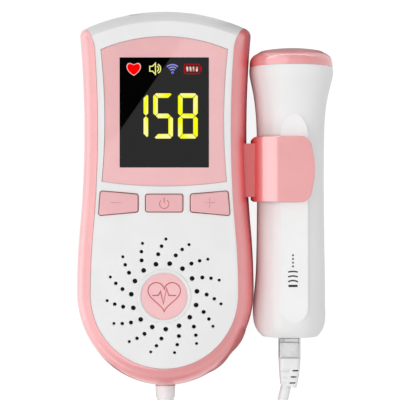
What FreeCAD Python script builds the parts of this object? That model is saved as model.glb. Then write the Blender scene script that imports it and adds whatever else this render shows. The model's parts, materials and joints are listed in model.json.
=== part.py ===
import FreeCAD, Part
import math
import os
from FreeCAD import Vector

# Hand-held fetal doppler monitor, with its ultrasound probe held in a clip on the right side.
# Millimetres. X to the right, Y towards the display end, Z up from the surface that the rear cover lies on.
# The origin is on the flat rear face, on the centre line and at mid-length.

# ---- driving dimensions: main unit ----
case_length = 135.0
waist_half = 29.4            # half-width at the waist
waist_y = 24.0
belly_half = 32.0            # half-width at the widest point
belly_y = -33.6
belly_radius = 250.0
shoulder_radius = 35.0
top_radius = 70.5            # the display end's arc
corner_radius = 3.0
face_z = 30.0                # white front face
crest_z = 30.3               # where the pink band rolls over to its inner edge, proud of the face
split_z = 15.0               # parting plane of the two covers
widest_z = 14.0
side_bulge = 6.4             # how far the sides would curve in over their reach to the front
end_bulge = 9.9
rear_bulge = 6.0
foot_share = 0.36            # the surface curves in this much more at the bottom than at the sides
side_reach = 16.35
end_reach = 18.0
rear_reach = 14.3
section_heights = (0.0, 0.8, 2.2, 4.6, 8.5, 14.0, 18.5, 22.5, 25.8, 28.2, 29.5, 30.1, crest_z)
gap = 0.05                   # between pieces of one body
wall = 1.9
band_wall = 2.2
band_rear_z = 4.5
step_z = 23.0                # the band thickens inwards here, as its outside curves in
step_wall = 4.2
lip_z = 26.8                 # the band's front lip starts here
lip_width = 6.0
lip_foot = 1.6               # the lip is this much wider at the bottom
flare_y = (52.0, 61.6)       # between these the lip narrows towards the top corner
corner_block = (22.6, 49.0)  # past this corner the covers are solid, for the band's thick end
slot_radius = 2.95           # hole for the strain relief, half in each cover
far = 100.0                  # cutting shapes reach this far, past everything

# ---- driving dimensions: display, keys, speaker ----
panel_z = 29.6
panel_floor_z = 28.4
panel_top_y = 56.8
panel_corner_x = 22.3
panel_corner_y = 52.2
panel_waist_x = 20.9
panel_waist_y = 31.0
panel_foot_x = 21.9
panel_foot_y = 5.9
panel_bottom_y = 4.3
panel_fit = 0.1
window_x = 15.7
window_y = (10.8, 49.5)
window_ledge = 0.85          # the cover's opening is this much wider than the window
lcd_x = 17.2
lcd_y = (9.2, 50.9)
lcd_z = (25.1, 27.3)
backlight_margin = 0.8
gasket_z = (27.35, 27.95)
key_top_z = 30.8
key_gap = 0.3                # round each key
key_round = 0.45
key_flange = 0.9             # width of the flange that keeps a key in
key_flange_z = (26.9, 27.7)
key_well_z = (21.5, 27.75)   # room under the face for the flanges and switches
stem_radius = 1.5
plunger_radius = 1.7
plunger_z = (23.9, 26.1)
key_travel = 0.5
key_inner_x = 9.25
key_outer_x = 22.3
key_outer_foot_x = 23.0
power_x = 6.45
key_y = (-4.7, 1.35)
key_outer_y = (-6.0, 2.5)
switch_x = 15.5
switch_half = 3.0
switch_top_z = 25.2
speaker_y = -34.4
speaker_radius = 20.0
swelling_degs = (-30.6, -49.2)   # finger swellings on the lower right shoulder
swelling_radius = 15.0
swelling_rise = 27.0         # radius of their upright arc
swelling_half = 13.0         # half their height
swelling_proud = 0.5
grille_arms = 15
grille_start_deg = 80.56
# radius of the ring, its turn in degrees, radius of its holes
grille_rings = ((11.6, 0.0, 0.87), (14.9, -6.3, 0.74), (17.6, -11.5, 0.65), (20.1, -16.2, 0.56))
badge_radius = 8.1
badge_z = (29.02, 29.9)
badge_rim = (8.2, 9.55)
badge_rim_proud = 0.5
frame_wall = 1.2             # speaker frame
frame_z = (21.4, 22.6, 26.65)    # back, top of the back plate, front
cone_wall = 0.6
cone_depth = 3.0
magnet_radius = 9.5
magnet_z = (16.9, 21.35)
pole_radius = 6.0
speaker_gasket_z = (26.7, 27.45)
mesh_z = (27.5, 27.95)

# ---- driving dimensions: inside ----
board_x = 19.0
board_y = (-12.0, 56.6)
board_z = (20.2, 21.8)
board_screw_places = ((-16.6, 54.3), (16.6, 54.3), (-16.6, -9.6), (16.6, -9.6))
board_screw_radius = 0.68
board_screw_head = 1.9
board_screw_tip_z = 26.0
board_boss_radius = 2.1
case_screw_places = ((-22.3, 51.5), (22.3, 51.5), (-17.0, -53.5), (17.0, -53.5))
case_screw_radius = 0.78
case_screw_head = 2.0
case_screw_z = (2.6, 3.98, 22.0)     # outside of the head, its inside, tip
case_boss_radius = 2.6
boss_top_z = 28.5
driver_slot = (0.3, 1.3)     # half-width and half-length of one arm of the cross recess
cell_radius = 7.25
cell_nub = (2.7, 1.6)        # radius and height
cell_length = 50.5
cell_x = 7.6
cell_z = 9.9
bay_x = 15.7
bay_y = (4.0, 58.65)
bay_top_z = 17.3
tub_wall = 1.2               # round the battery bay
tub_roof = 1.1
inner_skin_z = 0.2           # bosses and tub grow out of the rear face's skin from here
contact_half = 5.0
contact_thick = 0.4
contact_z = (4.0, 16.0)
spring_room = 3.6
spring_half = 3.5
spring_thick = 0.35
door_x = 18.5
door_y = 4.2
door_z = (0.35, 2.0)
rail_x = 19.7
rail_z = 1.3
slide_fit = 0.15             # round the door
ledge_margin = 1.5           # the ledge that carries the door's rails
ledge_y = 2.6
ledge_top_z = 3.8
grip_half = 6.0
grip_y = 12.0
grip_pitch = 1.8
grip_width = 0.8
grip_depth = 0.3
grip_count = 5
jack_x = -10.0
jack_z = 21.0
jack_y = (51.3, 65.0)
jack_body_y = 61.6
jack_half = 3.5
jack_half_z = 2.5
jack_collar = 2.8
jack_bore = 1.8
jack_fit = 0.3

# ---- driving dimensions: clip, probe, plug and cable ----
clip_x = (31.0, 53.3)
clip_y = (-1.3, 21.9)
clip_z = (2.3, 29.7)
clip_wall = 2.0
clip_bend = 10.0
clip_edge = 0.4              # rounding of the clip's outer edges
clip_bulge = 2.6             # the clip's free edge is bowed out this much
neck_x = 27.95
neck_y = (0.5, 19.5)
neck_z = (8.0, 24.0)
probe_x = 45.5
probe_z = 16.0
probe_wall = 2.0
head_radius = 15.0
head_bore = 13.45
head_y = 47.1
head_shelf_y = 50.1
head_corner_y = 50.6         # where the ring's rounded corner would meet its side
head_round = 3.6
probe_top_y = 54.0
lens_radius = 11.1
lens_dome = 55.0             # the acoustic lens is part of a sphere of this radius
lens_foot_y = 52.6
crystal_radius = 9.6
crystal_thick = 0.85
crystal_gap = 0.6            # between the transmitting and the receiving half
backing_y = 46.5
# height along the probe, half-width, half-depth, flatness of the flanks, shift to the left
probe_sections = (
    (-49.6, 9.9, 8.9, 1.0, 0.55),
    (-48.9, 10.75, 9.7, 1.0, 0.55),
    (-47.5, 11.85, 10.6, 1.0, 0.55),
    (-45.7, 12.7, 11.3, 1.0, 0.58),
    (-43.5, 13.15, 11.6, 1.0, 0.65),
    (-39.5, 13.2, 11.7, 1.0, 0.75),
    (-34.0, 12.95, 11.6, 1.0, 0.55),
    (-29.5, 12.7, 11.5, 1.0, 0.35),
    (-20.9, 12.4, 11.4, 1.0, 0.25),
    (-5.0, 12.2, 11.2, 1.0, 0.25),
    (20.0, 12.2, 11.2, 1.0, 0.25),
    (28.3, 12.45, 11.5, 0.6, 0.25),
    (34.1, 13.0, 12.4, 0.25, 0.2),
    (38.5, 13.75, 13.5, 0.05, 0.1),
    (42.8, 14.75, 14.7, 0.0, 0.0),
    (47.1, 15.0, 15.0, 0.0, 0.0),
)
flank_start = 5.2             # half-width of the flat front, where the 45 degree flanks begin
flank_sharpness = 10.0        # the higher, the smaller the round between front, flank and side
section_points = 64
label_x = 45.8
label_half = 4.8
label_y = (-43.9, 29.8)
label_proud = 0.22
label_sunk = 0.6
label_tip = 8.0              # height of the half-ellipse at its top
label_foot = 5.2             # and at its foot
probe_board_y = (-33.0, 38.0)
socket_y = (-47.2, -33.1)
socket_wall = 1.6
plug_x = 44.9
plug_half = 3.8
plug_depth = 3.2             # half of its thickness
plug_y = (-57.6, -41.0)
plug_window_y = (-57.3, -52.3)
plug_groove_y = ((-50.55, -50.15), (-52.05, -51.5))
blade_pitch = 1.4
boot_end_y = -67.6
boot_end_x = 44.45
boot_turn_deg = 14.0         # the boot's end leans to the left
boot_slot_y = (-61.95, -64.2, -66.4)
cord_diameter = 3.8
relief_z = 15.0
relief_tip_y = -85.0
coil_x = 18.5
coil_y = -137.0
coil_mean_radius = 21.0
coil_turns = 5.5
coil_rise = 0.6              # the tie's strap passes under the coil

# ---- values worked out from them ----
top_y = case_length / 2
bottom_y = -top_y
beyond_top = top_y + 8.0
reach_x = waist_half - belly_half + belly_radius
drop_y = waist_y - belly_y
waist_radius = (reach_x ** 2 + drop_y ** 2 - belly_radius ** 2) / (2 * (belly_radius - reach_x))
shoulder_x = belly_half - shoulder_radius
waist_centre = Vector(waist_half + waist_radius, waist_y, 0)
belly_centre = Vector(belly_half - belly_radius, belly_y, 0)
shoulder_centre = Vector(shoulder_x, belly_y, 0)
top_centre = Vector(0, top_y - top_radius, 0)
key_centre_y = (key_y[0] + key_y[1]) / 2
key_centres = {"minus": -switch_x, "power": 0.0, "plus": switch_x}
coil_spread = cord_diameter * coil_turns / 4

parts = {}


# ---- shape helpers ----
def box(x, y, z):
    """Box from three (low, high) pairs."""
    return Part.makeBox(x[1] - x[0], y[1] - y[0], z[1] - z[0], Vector(x[0], y[0], z[0]))


def about(middle, half):
    """(low, high) pair on both sides of a middle."""
    return (middle - half, middle + half)


def slab(low, high):
    """All that lies between two heights."""
    return box((-far, far), (-far, far), (low, high))


def rod(radius, start, end):
    """Round bar from point to point."""
    start, end = Vector(*start), Vector(*end)
    return Part.makeCylinder(radius, (end - start).Length, start, end - start)


def tube(outer, inner, start, end):
    return rod(outer, start, end).cut(rod(inner, start, end))


def join(shapes):
    """One solid from shapes that overlap."""
    return shapes[0].multiFuse(shapes[1:]).removeSplitter() if len(shapes) > 1 else shapes[0]


def group(shapes):
    """Separate solids kept together."""
    return Part.makeCompound(shapes)


def mirrored(point):
    return Vector(-point.x, point.y, point.z)


def lift(wire, z):
    return wire.translated(Vector(0, 0, z))


def prism(wire, z):
    """Solid of a flat outline between two heights."""
    return Part.Face(lift(wire, z[0])).extrude(Vector(0, 0, z[1] - z[0]))


def arc_about(centre, start, end):
    """The shorter arc about a centre."""
    radius = (start - centre).Length
    middle = centre + ((start - centre) + (end - centre)).normalize() * radius
    return Part.Arc(start, middle, end).toShape()


def line(start, end):
    return Part.LineSegment(start, end).toShape()


def rounded_path(points, radii, closed=True):
    """Edges of straight runs joined by tangent arcs, one radius for each corner (0 is sharp)."""
    points = [Vector(*p) for p in points]
    count = len(points)
    corners = range(count) if closed else range(1, count - 1)
    entry, leave, bends = {}, {}, {}
    for i in range(count):
        entry[i] = leave[i] = points[i]
    for i in corners:
        radius = radii[i]
        if radius == 0:
            continue
        before = (points[i] - points[i - 1]).normalize()
        after = (points[(i + 1) % count] - points[i]).normalize()
        half_turn = before.getAngle(after) / 2
        cut = radius * math.tan(half_turn)
        entry[i] = points[i] - before * cut
        leave[i] = points[i] + after * cut
        inward = (after - before).normalize()
        bends[i] = points[i] + inward * (radius / math.cos(half_turn) - radius)
    edges = []
    for i in range(count):
        if i in bends:
            edges.append(Part.Arc(entry[i], bends[i], leave[i]).toShape())
        following = (i + 1) % count
        if closed or i < count - 1:
            if (entry[following] - leave[i]).Length > 1e-6:
                edges.append(line(leave[i], entry[following]))
    return edges


def rounded_outline(points, radii):
    """Closed flat wire at z = 0 from (x, y) corners."""
    if not hasattr(radii, "__len__"):
        radii = [radii] * len(points)
    return Part.Wire(rounded_path([(x, y, 0) for x, y in points], radii))


# ---- outlines of the main unit ----
def bottom_arc(foot):
    """Centre and radius of the arc across the bottom, when the bottom is raised by foot."""
    drop = shoulder_radius - (belly_y - bottom_y) + foot
    down = (shoulder_x ** 2 - drop ** 2) / (2 * drop)
    return Vector(0, belly_y - down, 0), belly_y - down - bottom_y - foot


def waist_belly_joint(offset):
    """Where the right side's waist arc meets its belly arc, moved out by offset."""
    across = (waist_centre - belly_centre).normalize()
    return belly_centre + across * (belly_radius + offset)


def lower_edges(offset, foot):
    """Edges from the right waist-to-belly joint round the bottom to the left one."""
    centre, radius = bottom_arc(foot)
    waist_belly = waist_belly_joint(offset)
    widest = Vector(belly_half + offset, belly_y, 0)
    turn = (centre - shoulder_centre).normalize()
    shoulder_bottom = centre + turn * (radius + offset)
    lowest = centre - Vector(0, radius + offset, 0)
    return [
        arc_about(belly_centre, waist_belly, widest),
        arc_about(shoulder_centre, widest, shoulder_bottom),
        Part.Arc(shoulder_bottom, lowest, mirrored(shoulder_bottom)).toShape(),
        arc_about(mirrored(shoulder_centre), mirrored(shoulder_bottom), mirrored(widest)),
        arc_about(mirrored(belly_centre), mirrored(widest), mirrored(waist_belly)),
    ]


def case_outline(side, end, foot=0):
    """Whole plan outline: sides moved out by side, display end by end, bottom raised by foot."""
    waist = waist_radius - side
    top = top_radius + end
    reach_a, reach_b = waist + corner_radius, top - corner_radius
    across = waist_centre - top_centre
    along = (reach_b ** 2 - reach_a ** 2 + across.Length ** 2) / (2 * across.Length)
    aside = math.sqrt(reach_b ** 2 - along ** 2)
    unit = Vector(across).normalize()
    corner = top_centre + unit * along + Vector(-unit.y, unit.x, 0) * aside
    on_top = top_centre + (corner - top_centre).normalize() * top
    on_side = waist_centre + (corner - waist_centre).normalize() * waist
    waist_belly = waist_belly_joint(side)
    apex = top_centre + Vector(0, top, 0)
    edges = [
        Part.Arc(mirrored(on_top), apex, on_top).toShape(),
        arc_about(corner, on_top, on_side),
        arc_about(waist_centre, on_side, waist_belly),
    ]
    edges += lower_edges(side, foot)
    edges += [
        arc_about(mirrored(waist_centre), mirrored(waist_belly), mirrored(on_side)),
        arc_about(mirrored(corner), mirrored(on_side), mirrored(on_top)),
    ]
    return Part.Wire(edges)


def side_outline(offset, foot=0, end_wall=None):
    """Sides and bottom, run on past the display end; the band thins there to end_wall, if given."""
    waist = waist_radius - offset
    upper = on_waist(waist, beyond_top if end_wall is None else flare_y[0])
    waist_belly = waist_belly_joint(offset)
    edges = [arc_about(waist_centre, upper, waist_belly)]
    edges += lower_edges(offset, foot)
    edges.append(arc_about(mirrored(waist_centre), mirrored(waist_belly), mirrored(upper)))
    if end_wall is None:
        return Part.Wire([line(mirrored(upper), upper)] + edges)
    outward = (waist_centre - upper).normalize()
    flare_end = on_waist(waist_radius + end_wall, flare_y[1])
    chord = flare_end - upper
    flare_centre = upper + outward * (chord.Length ** 2 / (2 * chord.dot(outward)))
    corner = Vector(flare_end.x, beyond_top, 0)
    head = [
        line(mirrored(flare_end), mirrored(corner)),
        line(mirrored(corner), corner),
        line(corner, flare_end),
        arc_about(flare_centre, flare_end, upper),
    ]
    tail = arc_about(mirrored(flare_centre), mirrored(upper), mirrored(flare_end))
    return Part.Wire(head + edges + [tail])


def on_waist(radius, y):
    """Point at height y on a circle about the right waist's centre."""
    return Vector(waist_centre.x - math.sqrt(radius ** 2 - (y - waist_y) ** 2), y, 0)


def inset(z, bulge, reach):
    """How far the surface has curved in at height z; bulge and reach hold in front of the widest line."""
    if z < widest_z:
        bulge, reach = rear_bulge, rear_reach
    share = (z - widest_z) / reach
    return bulge * (1 - math.sqrt(1 - share ** 2))


def case_envelope():
    """Outer form of the closed case, up to the band's crest."""
    sections = []
    for z in section_heights:
        side = inset(z, side_bulge, side_reach)
        outline = case_outline(-side, -inset(z, end_bulge, end_reach), foot_share * side)
        sections.append(lift(outline, z))
    return Part.makeLoft(sections, True, False)


# ---- covers and band ----
def inside_band(clearance, top_z):
    """Solid that the band wraps round: stepped at sides and bottom, smooth and open at the display end."""
    thick_end = box((-60, 60), (flare_y[0] - clearance, 90), (-1, top_z + 1))
    low = band_rear_z - 0.5
    lip = side_outline(-lip_width - clearance, lip_foot, band_wall + clearance)
    return join(
        [
            prism(side_outline(-band_wall - clearance), (low, step_z - clearance)).cut(thick_end),
            prism(side_outline(-step_wall - clearance), (step_z - 1, lip_z - clearance)).cut(thick_end),
            prism(lip, (low, top_z)),
        ]
    )


def make_side_band(envelope):
    """Pink band round the sides and bottom, with a lip over the front face's edge."""
    form = join([envelope] + [finger_swelling(angle) for angle in swelling_degs])
    band = form.cut(inside_band(0, crest_z + 1))
    band = band.cut(slab(-1, band_rear_z))
    slot = box((20, 40), (neck_y[0] - gap, neck_y[1] + gap), (neck_z[0] - gap, neck_z[1] + gap))
    parts["side_band"] = band.cut(slot).cut(relief_hole())


def finger_swelling(angle):
    """Shallow barrel on the lower right shoulder, for a finger to hold against."""
    heading = Vector(math.cos(math.radians(angle)), math.sin(math.radians(angle)), 0)
    axis = shoulder_centre + heading * (shoulder_radius + swelling_proud - swelling_radius)
    end_radius = swelling_radius - swelling_rise + math.sqrt(swelling_rise ** 2 - swelling_half ** 2)
    low, high = Vector(end_radius, 0, -swelling_half), Vector(end_radius, 0, swelling_half)
    foot, top = Vector(0, 0, -swelling_half), Vector(0, 0, swelling_half)
    flank = Part.Arc(low, Vector(swelling_radius, 0, 0), high).toShape()
    face = Part.Face(Part.Wire([line(foot, low), flank, line(high, top), line(top, foot)]))
    barrel = face.revolve(Vector(0, 0, 0), Vector(0, 0, 1), 360)
    return barrel.translated(Vector(axis.x, axis.y, widest_z))


def relief_hole():
    return rod(slot_radius, (0, -75, relief_z), (0, -55, relief_z))


def covers_outer(envelope):
    """What the two white covers fill together, inside the band."""
    rear = slab(-1, band_rear_z - gap)
    return envelope.common(join([inside_band(gap, face_z), rear]))


def cavity():
    """The hollow inside the covers."""
    inner = band_wall + gap + wall
    low = prism(case_outline(-inner - 0.8, -4.9), (2.0, 6.0))
    middle = prism(case_outline(-inner, -2.7), (5.9, 21.6))
    high = prism(case_outline(-lip_width - wall - 0.3, -6.2, lip_foot), (21.5, 28.0))
    corner_x, corner_y = corner_block
    right = box((corner_x, 40), (corner_y, 80), (0, 30))
    left = box((-40, -corner_x), (corner_y, 80), (0, 30))
    return join([low, middle, high]).cut(group([left, right]))


def panel_outline(margin):
    """The display panel's outline: arched top and bottom, sides bowed in."""
    top_arc = panel_top_y + margin
    corner = Vector(panel_corner_x + margin, panel_corner_y + margin, 0)
    foot = Vector(panel_foot_x + margin, panel_foot_y - margin, 0)
    waist = Vector(panel_waist_x + margin, panel_waist_y, 0)
    edges = [
        Part.Arc(mirrored(corner), Vector(0, top_arc, 0), corner).toShape(),
        Part.Arc(corner, waist, foot).toShape(),
        Part.Arc(foot, Vector(0, panel_bottom_y - margin, 0), mirrored(foot)).toShape(),
        Part.Arc(mirrored(foot), mirrored(waist), mirrored(corner)).toShape(),
    ]
    return Part.Wire(edges)


def key_outline(name, margin):
    """Plan outline of one key, grown by a margin."""
    low, high = key_y[0] - margin, key_y[1] + margin
    if name == "power":
        x = power_x + margin
        corners = [(-x, low), (x, low), (x, high), (-x, high)]
    else:
        inner, outer, foot = key_inner_x - margin, key_outer_x + margin, key_outer_foot_x + margin
        corners = [
            (inner, low),
            (foot, key_outer_y[0] - margin),
            (outer, key_outer_y[1] + margin),
            (inner, high),
        ]
        if name == "minus":
            corners = [(-x, y) for x, y in reversed(corners)]
    return rounded_outline(corners, 0.7 + margin)


def grille_holes():
    holes = []
    for arm in range(grille_arms):
        for ring_radius, twist, hole_radius in grille_rings:
            angle = math.radians(grille_start_deg + twist + 360.0 / grille_arms * arm)
            x = ring_radius * math.cos(angle)
            y = speaker_y + ring_radius * math.sin(angle)
            holes.append(rod(hole_radius, (x, y, 27), (x, y, 31)))
    return holes


def boss(place, z, radius):
    """Upright round post."""
    return rod(radius, (*place, z[0]), (*place, z[1]))


def badge_ring():
    """Low rounded rim round the badge."""
    low, high = badge_rim
    radius = (high - low) / 2
    centre = Vector(0, speaker_y, face_z + badge_rim_proud - radius)
    return Part.makeTorus(low + radius, radius, centre, Vector(0, 0, 1))


def make_front_cover(outer, hollow):
    shell = outer.common(slab(split_z, face_z + 1)).cut(hollow)
    bosses = [boss(place, (split_z, boss_top_z), case_boss_radius) for place in case_screw_places]
    bosses += [boss(place, (board_z[1], boss_top_z), board_boss_radius) for place in board_screw_places]
    solid = join([shell, badge_ring()] + [b.common(outer) for b in bosses])
    opening_y = (window_y[0] - window_ledge, window_y[1] + window_ledge)
    jack_room_y = (jack_y[0] - jack_fit, jack_body_y + jack_fit)
    cuts = [
        prism(panel_outline(panel_fit), (panel_floor_z, face_z + 1)),
        box(about(0, window_x + window_ledge), opening_y, (lcd_z[1] - jack_fit, panel_floor_z + 1)),
        boss((0, speaker_y), (badge_z[0] - gap, far), badge_radius + gap),
        relief_hole(),
        rod(jack_collar + jack_fit, (jack_x, jack_y[0], jack_z), (jack_x, far, jack_z)),
        box(about(jack_x, jack_half + jack_fit), jack_room_y, about(jack_z, jack_half_z + jack_fit)),
    ]
    for name in ("minus", "power", "plus"):
        cuts.append(prism(key_outline(name, key_gap), (key_flange_z[0], face_z + 1)))
        cuts.append(prism(key_outline(name, key_flange + key_gap), key_well_z))
    pilot_z = (split_z - 1, case_screw_z[2] + 1)
    cuts += [boss(place, pilot_z, case_screw_radius + gap) for place in case_screw_places]
    pilot_z = (board_z[1] - 1, board_screw_tip_z + 1)
    cuts += [boss(place, pilot_z, board_screw_radius + gap) for place in board_screw_places]
    parts["front_cover"] = solid.cut(group(cuts + grille_holes()))


def make_rear_cover(outer, hollow):
    shell = outer.common(slab(-1, split_z)).cut(hollow)
    ledge = box(about(0, rail_x + ledge_margin), (ledge_y, far), (-1, ledge_top_z)).common(outer)
    tub_y = (bay_y[0] - tub_wall, bay_y[1] + tub_wall)
    tub = box(about(0, bay_x + tub_wall), tub_y, (inner_skin_z, bay_top_z + tub_roof))
    bosses = [boss(place, (inner_skin_z, split_z), case_boss_radius) for place in case_screw_places]
    solid = join([shell, ledge, tub] + [b.common(outer) for b in bosses])
    slide_y, slide_top = (door_y - slide_fit, far), door_z[1] + slide_fit
    cuts = [
        box(about(0, bay_x), bay_y, (-1, bay_top_z)),
        box(about(0, door_x + slide_fit), slide_y, (-1, slide_top)),
        box(about(0, rail_x + slide_fit), slide_y, (rail_z - slide_fit, slide_top)),
        relief_hole(),
    ]
    for place in case_screw_places:
        cuts.append(boss(place, (-1, split_z + 1), case_screw_radius + 0.4))
        cuts.append(boss(place, (-1, case_screw_z[1] + gap), case_screw_head + 0.2))
    parts["rear_cover"] = solid.cut(group(cuts))


def make_case_screws():
    outside, seat, tip = case_screw_z
    wide, tall = driver_slot
    screws = []
    for place in case_screw_places:
        x, y = place
        head = boss(place, (outside, seat), case_screw_head)
        recess_z = (outside - 1, (outside + seat) / 2)
        head = head.cut(box(about(x, wide), about(y, tall), recess_z))
        head = head.cut(box(about(x, tall), about(y, wide), recess_z))
        screws.append(join([boss(place, (recess_z[1], tip), case_screw_radius), head]))
    parts["case_screws"] = group(screws)


# ---- display and keys ----
def make_display():
    plate = prism(panel_outline(0), (panel_floor_z + gap, panel_z))
    window = box(about(0, window_x), window_y, (panel_floor_z, face_z))
    parts["display_panel"] = plate.cut(window)
    lens_y = (window_y[0] + gap, window_y[1] - gap)
    parts["display_lens"] = box(about(0, window_x - gap), lens_y, (panel_floor_z + gap, panel_z))
    gasket = box(about(0, lcd_x), lcd_y, gasket_z)
    parts["display_gasket"] = gasket.cut(box(about(0, window_x), window_y, (lcd_z[1], panel_floor_z)))
    parts["lcd_glass"] = box(about(0, lcd_x), lcd_y, lcd_z)
    frame_y = (lcd_y[0] - backlight_margin, lcd_y[1])
    frame_z = (board_z[1] + gap, lcd_z[0] - gap)
    parts["backlight_frame"] = box(about(0, lcd_x + backlight_margin), frame_y, frame_z)


def make_key(name):
    """Key cap with its retaining flange and stem, and the switch plunger under it."""
    place = (key_centres[name], key_centre_y)
    inside_flange_z = sum(key_flange_z) / 2
    cap = prism(key_outline(name, 0), (inside_flange_z, key_top_z))
    top_edges = [e for e in cap.Edges if e.BoundBox.ZMin > key_top_z - 0.01]
    cap = cap.makeFillet(key_round, top_edges)
    flange = prism(key_outline(name, key_flange), key_flange_z)
    stem = boss(place, (plunger_z[1], inside_flange_z), stem_radius)
    parts["key_" + name] = join([cap, flange, stem])
    parts["plunger_" + name] = boss(place, plunger_z, plunger_radius)


def make_switches():
    bodies = []
    for x in key_centres.values():
        z = (board_z[1], switch_top_z)
        body = box(about(x, switch_half), about(key_centre_y, switch_half), z)
        well_z = (plunger_z[0] - key_travel - 0.2, far)
        bodies.append(body.cut(boss((x, key_centre_y), well_z, plunger_radius + 0.15)))
    parts["tact_switches"] = group(bodies)


# ---- speaker and badge ----
def make_speaker():
    def at(z):
        return (0, speaker_y, z)

    parts["badge_disc"] = rod(badge_radius, at(badge_z[0]), at(badge_z[1]))
    parts["dust_mesh"] = rod(speaker_radius + frame_wall, at(mesh_z[0]), at(mesh_z[1]))
    gasket = [at(z) for z in speaker_gasket_z]
    parts["speaker_gasket"] = tube(speaker_radius + frame_wall / 2, speaker_radius - 1.8, *gasket)
    back, plate_top, front = frame_z
    side = tube(speaker_radius, speaker_radius - frame_wall, at(back), at(front))
    parts["speaker_frame"] = join([side, tube(speaker_radius, pole_radius + 2, at(back), at(plate_top))])
    wide, narrow, foot = speaker_radius - frame_wall - 0.2, pole_radius + 1, plate_top + cone_wall
    sides = [
        Part.makeCone(narrow - inset, wide - inset, cone_depth, Vector(*at(z)), Vector(0, 0, 1))
        for inset, z in ((0, foot), (cone_wall, foot + cone_wall * 2 / 3))
    ]
    within = rod(speaker_radius, at(foot), at(foot + cone_depth))
    parts["speaker_cone"] = sides[0].cut(sides[1]).common(within)
    magnet = rod(magnet_radius, at(magnet_z[0]), at(magnet_z[1]))
    pole = rod(pole_radius, at(magnet_z[1] - gap), at(foot - 0.2))
    parts["speaker_magnet"] = join([magnet, pole])


# ---- board, cells and door ----
def make_board():
    board = box(about(0, board_x), board_y, board_z)
    through = (board_z[0] - 1, board_z[1] + 1)
    holes = [boss(place, through, board_screw_radius + 0.4) for place in board_screw_places]
    holes.append(box(about(jack_x, jack_half + 0.2), (jack_y[0] - 0.2, far), through))
    parts["main_board"] = board.cut(group(holes))
    rear = board_z[0]
    # x, y, half-width, half-depth and height of each chip on the rear
    chips = ((0.0, -5.0, 6.0, 4.0, 1.4), (11.0, -7.0, 3.0, 2.5, 1.2), (-11.5, -2.0, 2.5, 2.5, 1.1))
    cans = [boss((x, 0.4), (rear - 4.5, rear), 2.0) for x in (16.8, -16.8)]
    bodies = [box(about(x, wide), about(y, deep), (rear - tall, rear)) for x, y, wide, deep, tall in chips]
    parts["board_components"] = group(bodies + cans)
    slot_half, slot_reach = driver_slot
    screws = []
    for place in board_screw_places:
        x, y = place
        head = boss(place, (rear - 1.2, rear), board_screw_head)
        head = head.cut(box(about(x, slot_half), about(y, slot_reach), (rear - 2, rear - 0.7)))
        screws.append(join([head, boss(place, (rear - 0.5, board_screw_tip_z), board_screw_radius)]))
    parts["board_screws"] = group(screws)


def make_headphone_jack():
    body = box(about(jack_x, jack_half), (jack_y[0], jack_body_y), about(jack_z, jack_half_z))
    collar = rod(jack_collar, (jack_x, jack_body_y - 1, jack_z), (jack_x, jack_y[1], jack_z))
    bore = rod(jack_bore, (jack_x, jack_y[0] + 0.5, jack_z), (jack_x, far, jack_z))
    parts["headphone_jack"] = join([body, collar]).cut(bore)


def make_cells():
    """Two AA cells side by side, head to tail, each between a leaf spring and a flat contact."""
    nub_radius, nub_height = cell_nub
    plates, springs = [], []
    for name, heading, foot_wall, head_wall in (
        ("left", -1, bay_y[1], bay_y[0]),
        ("right", 1, bay_y[0], bay_y[1]),
    ):
        x = heading * cell_x
        flat_end = foot_wall + heading * spring_room
        shoulder = flat_end + heading * (cell_length - nub_height)
        tip = flat_end + heading * cell_length
        can = rod(cell_radius, (x, flat_end, cell_z), (x, shoulder, cell_z))
        nub = rod(nub_radius, (x, shoulder - heading, cell_z), (x, tip, cell_z))
        parts["battery_cell_" + name] = join([can, nub])
        plate_y = sorted((head_wall - heading * gap / 2, head_wall - heading * contact_thick))
        plates.append(box(about(x, contact_half), plate_y, contact_z))
        springs.append(leaf_spring(x, foot_wall, heading))
    parts["battery_contacts"] = group(plates)
    parts["battery_springs"] = group(springs)


def leaf_spring(x, wall_y, heading):
    """Folded strip of spring steel that presses on a cell's flat end."""
    fixed = wall_y + heading * (spring_thick / 2 + gap)
    pressed = wall_y + heading * (spring_room - spring_thick / 2 - gap)
    side = x - spring_half
    route = [(side, fixed, 3.6), (side, fixed, 14.5), (side, pressed, 10.5), (side, pressed, 7.0)]
    path = Part.Wire(rounded_path(route, [0, 1.2, 1.5, 0], closed=False))
    strip = path.makeOffset2D(spring_thick / 2, 0, True)
    return strip.extrude(Vector(2 * spring_half, 0, 0))


def make_battery_door(envelope):
    plate = box(about(0, door_x), (door_y, far), door_z)
    rails = box(about(0, rail_x), (door_y, far), (rail_z, door_z[1]))
    door = join([plate, rails]).common(envelope)
    grips = []
    for step in range(grip_count):
        y = grip_y + grip_pitch * step
        grips.append(box(about(0, grip_half), (y, y + grip_width), (0, door_z[0] + grip_depth)))
    parts["battery_door"] = door.cut(group(grips))


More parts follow.
